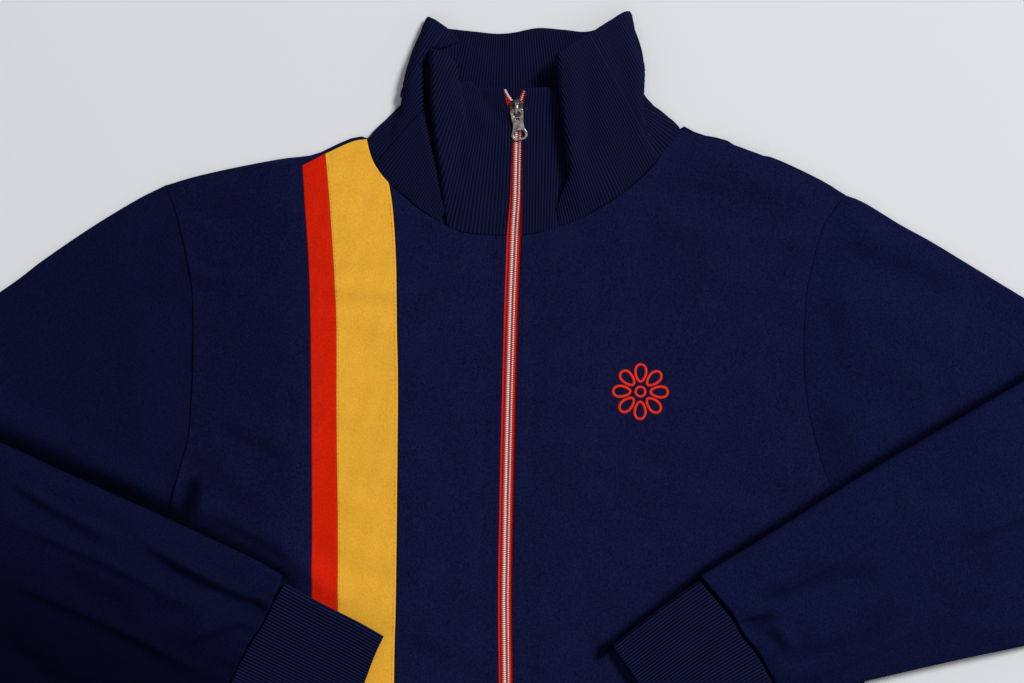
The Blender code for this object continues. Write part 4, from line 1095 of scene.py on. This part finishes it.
def rib_piece(name, table, form, rows=26, zip_spread=0.0, pitch=RIB_PITCH):
    """One ribbed layer, its ribs running from foot to top; zip_spread turns its top corner out."""
    keys = np.array(table, float)
    middles = 0.5 * (keys[:, :2] + keys[:, 2:4])
    steps = np.diff(middles, axis=0)
    headings = keys[:, 2:4] - keys[:, :2]
    headings = unit(headings)
    halfway = 0.5 * (headings[1:] + headings[:-1])
    spread = np.abs(steps[:, 0] * halfway[:, 1] - steps[:, 1] * halfway[:, 0])
    spread = np.maximum(spread, 0.12 * np.linalg.norm(steps, axis=1))
    ribs = max(2, round(spread.sum() / pitch))
    reach = np.concatenate([[0], np.cumsum(spread)]) / spread.sum()
    whole = np.linspace(0, 1, ribs * SAMPLES_PER_RIB + 1)
    dense = smooth_rows(keys, np.interp(whole, reach, np.arange(len(keys))))
    share = np.concatenate([[-0.008, 0.0, 0.01, 0.026], np.linspace(0.055, 0.945, rows),
                            [0.972, 0.988, 0.996, 1]])[None, :]
    foot, top = dense[:, None, :2], dense[:, None, 2:4]
    low, mid, high, bow = (dense[:, k:k + 1] for k in range(4, 8))
    plan = foot + (top - foot) * share[..., None]
    x = plan[..., 0] + bow * 12.2 * np.maximum(share, 0) * (1 - share) ** 4
    y = plan[..., 1]
    z = form(x, y, climb(share, low, mid, high))
    near_zip = np.exp(-np.abs(x - np.sign(zip_spread) * 4) / 8) * (zip_spread != 0)
    sway = (1.4 if zip_spread < 0 else 0.45) * collar_lean(y)
    x = x + (zip_spread * smooth(142, 167, y) ** 1.2 + sway) * near_zip
    grid = np.dstack([x, y, z])
    normal = unit(np.cross(np.gradient(grid, axis=0), np.gradient(grid, axis=1)), 1e-9)
    if normal[..., 2].mean() < 0:
        normal = -normal
    wave = np.cos(2 * math.pi * ribs * whole)[:, None] + 0.0 * z
    lengths = np.linalg.norm(dense[:, 2:4] - dense[:, :2], axis=1)[:, None]
    edge = np.minimum(share + 0.008, 1 - share) * np.maximum(lengths, 1.0)
    half = COLLAR_WALL / 2 - 0.85 * rolled(edge, 0.9)[..., None]
    depth = (RIB_DEPTH * (0.35 + 0.65 * smooth(0, 2.5, edge)))[..., None]
    upper = grid + normal * (half + depth * wave[..., None])
    lower = grid - normal * (half + 0.3 * depth * (wave[..., None] + 1))
    lower[..., 2] = np.maximum(lower[..., 2], 0.0)
    # The rib mark drives painted shade in the furrows between ribs.
    return faced_out(sheet_shell(name, upper, lower, navy_rib, {"rib": 0.5 + 0.5 * wave}))


collar = rib_piece("collar_rib", BACK_RIBS, plain_form, rows=18)
layers = [
    rib_piece("collar_right_side", RIGHT_SIDE_RIBS, side_form, rows=8),
    rib_piece("collar_right_flap_top", RIGHT_FLAP_TOP_RIBS, flap_top_form, rows=22, pitch=1.72),
    rib_piece("collar_right_flap", RIGHT_FLAP_RIBS, right_flap_form, rows=26, pitch=1.72),
    rib_piece("collar_tuck", TUCK_RIBS, plain_form, rows=6),
    rib_piece("collar_right_front", PLEAT_RIBS, pleat_form, rows=34, zip_spread=-5.6),
    rib_piece("collar_left_front", LEFT_FRONT_RIBS, plain_form, rows=24, zip_spread=2.8),
    rib_piece("collar_left_side", LEFT_SIDE_RIBS, side_form, rows=10),
    rib_piece("collar_left_flap", LEFT_FLAP_RIBS, flap_form, rows=36, pitch=1.72),
]
joined(*layers, collar)
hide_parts("collar")
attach(collar, "jacket")


# ---------------------------------------------------------------------------------------------
# The hem band. One strip of the same rib, sewn round the foot of the body from zip to zip and
# drawn in a little narrower than the cloth above it.
HEM_WALL = 1.5
HEM_HIGH = 4.3
HEM_ROWS = ((HEM_EDGE, 218), (HEM_EDGE + 1, 218), (HEM_EDGE + 3, 218.3), (HEM_EDGE + 12, 219.2),
            (HEM_EDGE + 25, 221), (HEM_SEAM - 22, 224), (HEM_SEAM - 12, 227), (HEM_SEAM - 5, 230),
            (HEM_SEAM - 1.4, 231.6), (HEM_SEAM - 0.2, 232))


def hem_section(half, y):
    """The band's middle line round one level, from zip edge to zip edge, with points per rib."""
    radius = (HEM_HIGH - HEM_WALL) / 2
    turn = np.radians(np.arange(80, -81, -20))
    right_bend = [(half - HEM_HIGH / 2 + radius * math.cos(a), HEM_HIGH / 2 + radius * math.sin(a))
                  for a in turn]
    path = [(ZIP_HALF_GAP, HEM_HIGH - HEM_WALL / 2), *right_bend,
            *[(-px, pz) for px, pz in right_bend[::-1]], (-ZIP_HALF_GAP, HEM_HIGH - HEM_WALL / 2)]
    path = np.array(path)
    reach = measured(path)
    points = read_at(path, reach, np.linspace(0, reach[-1], HEM_RIBS * SAMPLES_PER_RIB + 1))
    along = unit(np.gradient(points, axis=0))
    return points, np.stack([-along[:, 1], along[:, 0]], axis=1)


HEM_RIBS = 450
upper, lower = [], []
wave = np.cos(2 * math.pi * np.arange(HEM_RIBS * SAMPLES_PER_RIB + 1) / SAMPLES_PER_RIB)
for y, half in HEM_ROWS:
    points, normal = hem_section(half, y)
    thin = min(0.6, float(rolled(min(y - HEM_EDGE, HEM_SEAM - y), 1.0)))
    out = points + normal * (HEM_WALL / 2 - thin - 0.25 + 0.25 * wave)[:, None]
    inn = points - normal * (HEM_WALL / 2 - thin)
    upper.append(np.stack([out[:, 0], np.full(len(out), y), np.maximum(out[:, 1], 0.0)], axis=1))
    lower.append(np.stack([inn[:, 0], np.full(len(inn), y), np.maximum(inn[:, 1], 0.0)], axis=1))
# The rib mark drives painted shade in the furrows between ribs.
hem = sheet_shell("hem_band_rib", np.array(upper), np.array(lower), navy_rib,
                  {"rib": np.tile(0.5 + 0.5 * wave, (len(HEM_ROWS), 1))})
faced_out(hem)
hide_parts("hem_band")
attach(hem, "jacket")


# ---------------------------------------------------------------------------------------------
# The zip. Two red woven tapes under the edges of the fronts, each with half of a silver coil
# held down by a line of red chain stitch. They part above the slider into a short V.
TAPE_THICK = 0.7
COIL_PITCH = 1.25
COIL_LINES = {"right": (0.9, 2.15), "left": (1.65, 1.2)}       # from the middle, and how wide it shows
CHAIN_LINES = {"right": (2.45,), "left": (0.62, 2.75)}          # lines of red stitch, from the middle
COLLAR_FRONT_Z = (3.95, 7.6, 12.0)
NECK_FRONT_Y, COLLAR_TOP_Y = 70.0, 166.5


def tape_floor(y):
    """Underside of the tape, which climbs with the front of the collar."""
    v = np.clip((y - NECK_FRONT_Y) / (COLLAR_TOP_Y - NECK_FRONT_Y), 0, 2)
    under = climb(v, *COLLAR_FRONT_Z) - 2.0 - 0.15 * smooth(0, 0.1, v)
    return np.where(v <= 0, FRONT_FLOOR, under)


def parting(y):
    """How far each coil's inner ends stand from the zip's middle line."""
    return 0.05 + 0.54 * np.maximum(0, y - 155.0)


def zip_lean(y):
    return zip_middle(y) + 1.0 * collar_lean(y) - 1.6 * smooth(153, 164, y)


def tape_cloth(name, dark, light):
    """Woven tape: fine rows of weft across its length."""
    made, tree, shader = node_tree(name)
    weave = tree.nodes.new("ShaderNodeTexWave")
    weave.wave_type = "BANDS"
    weave.bands_direction = "Y"
    settings(weave, {"Scale": 420.0, "Distortion": 0.6})
    tree.links.new(own_place(tree), weave.inputs["Vector"])
    tree.links.new(two_tone(tree, weave.outputs["Fac"], dark, light), shader.inputs["Base Color"])
    roughened(tree, shader, weave.outputs["Fac"], 0.4, 0.0002)
    settings(shader, {"Roughness": 0.75, "Specular IOR Level": 0.08})
    return made


def thread(name, colour, roughness=0.55):
    """Sewing thread, darker where its plies turn under."""
    made, tree, shader = node_tree(name)
    twist = noise(tree, own_place(tree), 1600.0)
    shaded = two_tone(tree, twist, [c * 0.72 for c in colour], colour, 0.3, 0.6)
    tree.links.new(shaded, shader.inputs["Base Color"])
    settings(shader, {"Roughness": roughness, "Specular IOR Level": 0.12})
    return made


def threads(name, centres, headings, lengths, radius, flatness, material):
    """Many short rounded strands as one mesh: each has a middle, a heading and a length."""
    centres, headings = np.asarray(centres, float), np.asarray(headings, float)
    lengths = np.broadcast_to(np.asarray(lengths, float), (len(centres),))
    headings = unit(headings)
    side = unit(np.cross(headings, [0, 0, 1.0]))
    rise = np.cross(side, headings)
    stations = np.array([(-0.5, 0.25), (-0.42, 0.8), (0.0, 1.0), (0.42, 0.8), (0.5, 0.25)])
    turns = 2 * math.pi * np.arange(6) / 6
    far = lengths[:, None, None] * stations[:, 0][None, :, None]
    points = (centres[:, None, None] + headings[:, None, None] * far[..., None]
              + (side[:, None, None] * np.cos(turns)[None, None, :, None]
                 + rise[:, None, None] * (flatness * np.sin(turns))[None, None, :, None])
              * (radius * stations[:, 1])[None, :, None, None])
    single = grid_faces(5, 6, 0, True)
    caps = np.array([[0, 3, 2, 1], [0, 5, 4, 3], [24, 25, 26, 27], [24, 27, 28, 29]])
    single = np.concatenate([single, caps])
    faces = (single[None] + (np.arange(len(centres)) * 30)[:, None, None]).reshape(-1, 4)
    return faced_out(finished(name, points.reshape(-1, 3), faces, material))


red_tape = tape_cloth("red_tape", (0.62, 0.012, 0.004), (0.84, 0.024, 0.008))
red_thread = thread("red_zip_thread", (0.78, 0.020, 0.008))
silver, tree, shader = node_tree("silver_coil")
settings(shader, {"Base Color": (0.78, 0.77, 0.76, 1), "Metallic": 0.25, "Roughness": 0.42})

stations = np.concatenate([np.arange(HEM_EDGE + 12, 60, 4.0), np.arange(60, 80, 1.0), np.arange(80, 150, 4.0),
                           np.arange(150, 165.6, 0.8)])
for side, sign in (("right", -1), ("left", 1)):
    across = np.array([0, 0.3, 1, 2, 3, 4, 5, 6, 7, 8, 9, 10.1, 10.4])
    part = parting(stations)[:, None]
    drawn_in = 1 - 0.42 * np.exp(-((stations - NECK_FRONT_Y) / 3.5) ** 2)[:, None]
    x = zip_lean(stations)[:, None] + sign * (part + across[None, :] * drawn_in)
    y = stations[:, None] + 0.0 * x
    z = tape_floor(stations)[:, None] + 0.0 * x
    upper = np.dstack([x, y, z + TAPE_THICK])
    lower = np.dstack([x, y, z])
    tape = sheet_shell("zip_tape_" + side + "_cloth", upper, lower, red_tape)
    faced_out(tape)
    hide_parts("zip_tape_" + side)
    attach(tape, "jacket")

    along = np.arange(HEM_EDGE + 13, 165, COIL_PITCH) + (0.0 if side == "left" else COIL_PITCH / 2)
    base = tape_floor(along) + TAPE_THICK
    reach, long = COIL_LINES[side]
    middle = zip_lean(along) + sign * (parting(along) + reach)
    coil = threads("zip_coil_" + side, np.stack([middle, along, base + 0.62], axis=1),
                   np.tile([1.0, 0.12 * sign, 0.0], (len(along), 1)), long, 0.54, 1.15, silver)
    chain_at = np.arange(HEM_EDGE + 13, 165, 1.9)
    rows = []
    for offset in CHAIN_LINES[side]:
        rows.append(np.stack([zip_lean(chain_at) + sign * (parting(chain_at) + offset), chain_at,
                              tape_floor(chain_at) + TAPE_THICK + 0.85], axis=1))
    chain = threads("zip_chain_stitch_" + side, np.concatenate(rows),
                    np.tile([0.0, 1.0, 0.0], (len(rows) * len(chain_at), 1)), 1.75, 0.42, 0.8, red_thread)
    for piece in (coil, chain):
        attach(piece, "jacket")


# ---------------------------------------------------------------------------------------------
# The slider and its pull tab, with the box at the foot of the zip. Die-cast and nickel plated: the arch, the
# tab and the box are in the bright plating, and the slider's plates and diamond in a darker copy of it that
# is painted shade; the tab hangs from a bar under the slider's arch and swings on it.
SLIDER_Y = 153.0
COIL_HEIGHT = 1.4
LAYER_GAP = 0.3
WING_THICK = 1.1
BAR_RADIUS = 0.55
PULL_YAW = math.radians(8.0)
PULL_DROP = math.atan2(0.9, 19.5)


def worn_metal(name, dark, light, rough):
    """Plated metal with grime in its fine dents."""
    made, tree, shader = node_tree(name)
    grime = noise(tree, own_place(tree), 520.0, 5.0)
    tree.links.new(two_tone(tree, grime, dark, light, 0.38, 0.60), shader.inputs["Base Color"])
    polish = tree.nodes.new("ShaderNodeMapRange")
    settings(polish, {"To Min": rough, "To Max": rough + 0.2})
    tree.links.new(grime, polish.inputs["Value"])
    tree.links.new(polish.outputs["Result"], shader.inputs["Roughness"])
    roughened(tree, shader, grime, 0.35, 0.0003)
    shader.inputs["Metallic"].default_value = 1.0
    return made


nickel = worn_metal("worn_nickel", (0.26, 0.24, 0.22), (0.66, 0.61, 0.57), 0.22)
# A darker copy of the same plating for the slider's plates and diamond: painted shade for the dark
# surroundings they reflect.
shaded_nickel = worn_metal("shaded_nickel", (0.03, 0.028, 0.026), (0.20, 0.19, 0.175), 0.14)

rise = float(tape_floor(SLIDER_Y + 8) - tape_floor(SLIDER_Y - 8)) / 16
slider_top = float(tape_floor(SLIDER_Y)) + TAPE_THICK + COIL_HEIGHT
slider_place = (Matrix.Translation(Vector((float(zip_middle(SLIDER_Y)), SLIDER_Y, slider_top)) * MM)
                @ Matrix.Rotation(math.atan(rise), 4, "X"))


def placed(made, place, material, body):
    """Puts a piece's place into its mesh and rounds how it is shaded."""
    made.data.transform(place @ made.matrix_world)
    made.matrix_world = Matrix.Identity(4)
    made.data.materials.clear()
    made.data.materials.append(material)
    chosen(made)
    bpy.ops.object.shade_smooth_by_angle(angle=math.radians(50))
    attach(made, body)


def worn_edges(made, width, segments):
    worn = made.modifiers.new("worn edges", "BEVEL")
    worn.width = width * MM
    worn.segments = segments
    worn.limit_method = "ANGLE"
    bpy.ops.object.modifier_apply(modifier=worn.name)


def shield(name, radius, tail, low, thick):
    """A slider plate: a disc stretched towards its tail, with worn round edges."""
    bpy.ops.object.select_all(action="DESELECT")
    bpy.ops.mesh.primitive_circle_add(vertices=48, radius=radius * MM, fill_type="NGON",
                                      location=(0, 2.0 * MM, low * MM))
    made = bpy.context.active_object
    made.name = made.data.name = name
    bpy.ops.object.mode_set(mode="EDIT")
    work = bmesh.from_edit_mesh(made.data)
    for vert in work.verts:
        vert.select_set(vert.co.y < -0.001 * MM)
    work.select_flush_mode()
    bmesh.update_edit_mesh(made.data)
    bpy.ops.transform.resize(value=(0.84, 1.0, 1.0), center_override=(0, 0, 0))
    bpy.ops.transform.translate(value=(0, -tail * MM, 0))
    bpy.ops.mesh.select_all(action="SELECT")
    bpy.ops.mesh.extrude_region_move(TRANSFORM_OT_translate={"value": (0, 0, thick * MM)})
    bpy.ops.mesh.select_all(action="SELECT")
    bpy.ops.mesh.normals_make_consistent(inside=False)
    bpy.ops.object.mode_set(mode="OBJECT")
    worn_edges(made, 0.38, 3)
    return made


upper_plate = shield("slider_casting", 4.5, 4.0, LAYER_GAP, WING_THICK)
lower_plate = shield("slider_lower_plate", 3.9, 4.0, -TAPE_THICK - COIL_HEIGHT - LAYER_GAP - 0.8, 0.8)
bpy.ops.object.select_all(action="DESELECT")
bpy.ops.mesh.primitive_torus_add(major_segments=40, minor_segments=14, major_radius=3.6 * MM,
                                 minor_radius=0.72 * MM, rotation=(0, math.pi / 2, 0),
                                 location=(0, 0, (LAYER_GAP + WING_THICK - 0.2) * MM))
arch = bpy.context.active_object
bpy.ops.object.transform_apply(location=False, rotation=True, scale=False)
bpy.ops.object.mode_set(mode="EDIT")
bpy.ops.mesh.select_all(action="SELECT")
bpy.ops.transform.resize(value=(1.5, 1.0, 0.80), center_override=tuple(arch.location))
bpy.ops.mesh.bisect(plane_co=tuple(arch.location), plane_no=(0, 0, 1), clear_inner=True, use_fill=True)
bpy.ops.object.mode_set(mode="OBJECT")
bpy.ops.object.select_all(action="DESELECT")
bpy.ops.mesh.primitive_cylinder_add(vertices=16, radius=0.9 * MM, depth=(TAPE_THICK + COIL_HEIGHT + 1.4) * MM,
                                    location=(0, 5.2 * MM, -0.9 * MM))
diamond = bpy.context.active_object
for piece, finish in ((upper_plate, shaded_nickel), (lower_plate, shaded_nickel), (arch, nickel),
                      (diamond, shaded_nickel)):
    placed(piece, slider_place, finish, "jacket")
joined(lower_plate, arch, diamond, upper_plate)
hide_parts("zip_slider")

PULL_SIDE = ((0, 0.90), (2.6, 0.87), (3.9, 0.4), (4.3, -1.0), (4.05, -4.0), (3.65, -7.6), (3.6, -9.6),
             (4.0, -11.6), (4.9, -13.3), (5.3, -14.9), (5.0, -16.6), (3.6, -17.9), (1.6, -18.35), (0, -18.4))
ARCH_WINDOW = ((0, -0.75), (1.7, -0.8), (2.3, -1.4), (2.2, -3.2), (1.5, -3.9), (0, -3.95))
SLOT = ((0, -4.9), (1.3, -4.95), (1.55, -5.3), (1.3, -5.65), (0, -5.7))
EYE = ((0, -12.1), (1.7, -12.3), (3.1, -13.2), (3.75, -14.6), (3.4, -16.1), (2.2, -17.0), (0, -17.2))


def outline_spline(curve, half, count):
    """A closed outline from its right half, mirrored in the plate's middle line."""
    right = route(half)(np.linspace(0, 1, count))
    both = np.concatenate([right, (right * [-1, 1])[-2:0:-1]])
    spline = curve.splines.new("POLY")
    spline.points.add(len(both) - 1)
    for point, (px, py) in zip(spline.points, both):
        point.co = (px * MM, py * 1.06 * MM, 0, 1)
    spline.use_cyclic_u = True


plate = bpy.data.curves.new("pull_plate", "CURVE")
plate.dimensions = "2D"
plate.fill_mode = "BOTH"
for half, count in ((PULL_SIDE, 40), (ARCH_WINDOW, 14), (SLOT, 10), (EYE, 20)):
    outline_spline(plate, half, count)
plate.extrude = 0.30 * MM
plate.bevel_depth = 0.28 * MM
plate.bevel_resolution = 2
plate.offset = -0.28 * MM
pull = bpy.data.objects.new("pull_tab_casting", plate)
bpy.context.scene.collection.objects.link(pull)
chosen(pull)
bpy.ops.object.convert(target="MESH")
pull = bpy.context.active_object
bpy.ops.object.mode_set(mode="EDIT")
bpy.ops.mesh.select_all(action="SELECT")
bpy.ops.mesh.remove_doubles(threshold=0.01 * MM)
bpy.ops.mesh.normals_make_consistent(inside=False)
bpy.ops.object.mode_set(mode="OBJECT")
bar_height = LAYER_GAP + WING_THICK + 0.5 + BAR_RADIUS
pull_place = (slider_place @ Matrix.Translation(Vector((0, -1.2, bar_height)) * MM)
              @ Matrix.Rotation(PULL_YAW, 4, "Z") @ Matrix.Rotation(PULL_DROP, 4, "X"))
placed(pull, pull_place, nickel, "pull_tab")
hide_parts("pull_tab")

bpy.ops.object.select_all(action="DESELECT")
bpy.ops.mesh.primitive_cube_add(size=1, location=(0, (HEM_EDGE + 6) * MM, (FRONT_FLOOR + 1.35) * MM))
box = bpy.context.active_object
box.name = box.data.name = "zip_box_casting"
box.scale = (8.6 * MM, 10 * MM, 2.7 * MM)
bpy.ops.object.transform_apply(location=False, rotation=False, scale=True)
worn_edges(box, 0.8, 4)
placed(box, Matrix.Identity(4), nickel, "jacket")
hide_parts("zip_box")


# ---------------------------------------------------------------------------------------------
# The stitching. Yellow topstitch along both edges of the yellow stripe, and navy topstitch down
# each front beside the zip, each a row of lock stitches sunk a little into the cloth.
def stitch_row(name, line, shift, first, last, material, pitch=2.9, long=2.2):
    shares = np.arange(first, last, pitch / line.length)
    here, ahead = line(shares), line(shares + 0.5 * pitch / line.length)
    heading = unit(ahead - here)
    aside = np.stack([heading[:, 1], -heading[:, 0]], axis=1)
    spot = here + aside * shift
    z = front_height(spot[:, 0], spot[:, 1]) + KNIT + 0.02
    made = threads(name, np.column_stack([spot, z]), np.column_stack([heading, np.zeros(len(spot))]),
                   long, 0.22, 0.8, material)
    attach(made, "jacket")
    return made


yellow_thread = thread("yellow_thread", (0.80, 0.34, 0.03))
navy_thread = thread("navy_thread", (0.0032, 0.0042, 0.0210), 0.8)
stitch_row("stripe_stitch_outer", lines["red to yellow"], 1.5, 0.002, 0.985, yellow_thread)
stitch_row("stripe_stitch_inner", lines["yellow to centre"], -1.5, 0.002, 0.99, yellow_thread)
stitch_row("zip_stitch_left", zip_edge, ZIP_HALF_GAP + 3.0, 0.002, 0.99, navy_thread)
stitch_row("zip_stitch_right", zip_edge, -ZIP_HALF_GAP - 3.0, 0.002, 0.99, navy_thread)


# ---------------------------------------------------------------------------------------------
# The chest motif. An open rosette of eight petals round a small ring, machine embroidered in
# satin stitch with bright red thread on the left front.
MOTIF_CENTRE = (85.0, -31.5)
PETALS = 8
SATIN_SLANT = 0.35
motif_thread = thread("motif_thread", (0.92, 0.036, 0.010), 0.5)


def satin(path, width, spacing=0.42):
    """Strands laid side by side across a closed path."""
    reach = measured(path)
    far = np.arange(0, reach[-1], spacing)
    spot, ahead = read_at(path, reach, far), read_at(path, reach, far + 0.1)
    heading = unit(ahead - spot, 1e-9)
    across = np.stack([heading[:, 1] + SATIN_SLANT * heading[:, 0],
                       -heading[:, 0] + SATIN_SLANT * heading[:, 1]], axis=1)
    z = front_height(spot[:, 0], spot[:, 1]) + KNIT + 0.35
    return (np.column_stack([spot, z]), np.column_stack([across, np.zeros(len(spot))]),
            np.full(len(spot), width))


t = np.linspace(0, 2 * math.pi, 90)
strands = []
for k in range(PETALS):
    turn = 2 * math.pi * k / PETALS
    out = 6.6 + 5.7 * (1 - np.cos(t))
    aside = 4.3 * np.sin(t) * (0.62 + 0.38 * (1 - np.cos(t)) / 2)
    petal = np.stack([MOTIF_CENTRE[0] + out * math.sin(turn) + aside * math.cos(turn),
                      MOTIF_CENTRE[1] + out * math.cos(turn) - aside * math.sin(turn)], axis=1)
    strands.append(satin(petal, 1.9))
ring = np.stack([MOTIF_CENTRE[0] + 3.2 * np.sin(t), MOTIF_CENTRE[1] + 3.2 * np.cos(t)], axis=1)
strands.append(satin(ring, 1.8))
motif = threads("chest_motif", *[np.concatenate([s[k] for s in strands]) for k in range(3)], 0.27, 1.1,
                motif_thread)
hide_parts("motif")
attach(motif, "jacket")


# ---------------------------------------------------------------------------------------------
# The table top, the light and the camera. A plain pale surface under broad soft light, seen from
# straight above the chest.
VIEW_TURN = math.radians(1.07)
VIEW_WIDTH = 0.676
VIEW_HEIGHT = 1.35

bpy.ops.object.select_all(action="DESELECT")
bpy.ops.mesh.primitive_plane_add(size=6, location=(0, 0, 0))
table = bpy.context.active_object
table.name = "table_top"
surface, tree, shader = node_tree("pale_table")
settings(shader, {"Base Color": (0.78, 0.79, 0.81, 1), "Roughness": 0.7, "Specular IOR Level": 0.2})
table.data.materials.append(surface)


def soft_light(name, place, size, watts):
    lamp = bpy.data.lights.new(name, "AREA")
    lamp.shape = "DISK"
    lamp.size = size
    lamp.energy = watts
    holder = bpy.data.objects.new(name, lamp)
    holder.location = place
    holder.rotation_euler = (-Vector(place)).to_track_quat("-Z", "Y").to_euler()
    bpy.context.scene.collection.objects.link(holder)


soft_light("key light", (4.2, 3.3, 5.4), 2.3, 488)
soft_light("fill light", (-0.6, -1.6, 2.4), 1.8, 4)
world = bpy.data.worlds.new("room")
world.use_nodes = True
settings(world.node_tree.nodes["Background"], {"Color": (0.97, 0.985, 1.0, 1), "Strength": 0.26})
bpy.context.scene.world = world
bpy.context.scene.view_settings.view_transform = "Standard"

camera_data = bpy.data.cameras.new("overhead")
camera_data.sensor_width = 36
camera_data.lens = 36 * VIEW_HEIGHT / VIEW_WIDTH
camera = bpy.data.objects.new("overhead", camera_data)
camera.location = (-0.0002, 0, VIEW_HEIGHT + 0.004)
camera.rotation_euler = (0, 0, VIEW_TURN)
bpy.context.scene.collection.objects.link(camera)
bpy.context.scene.camera = camera
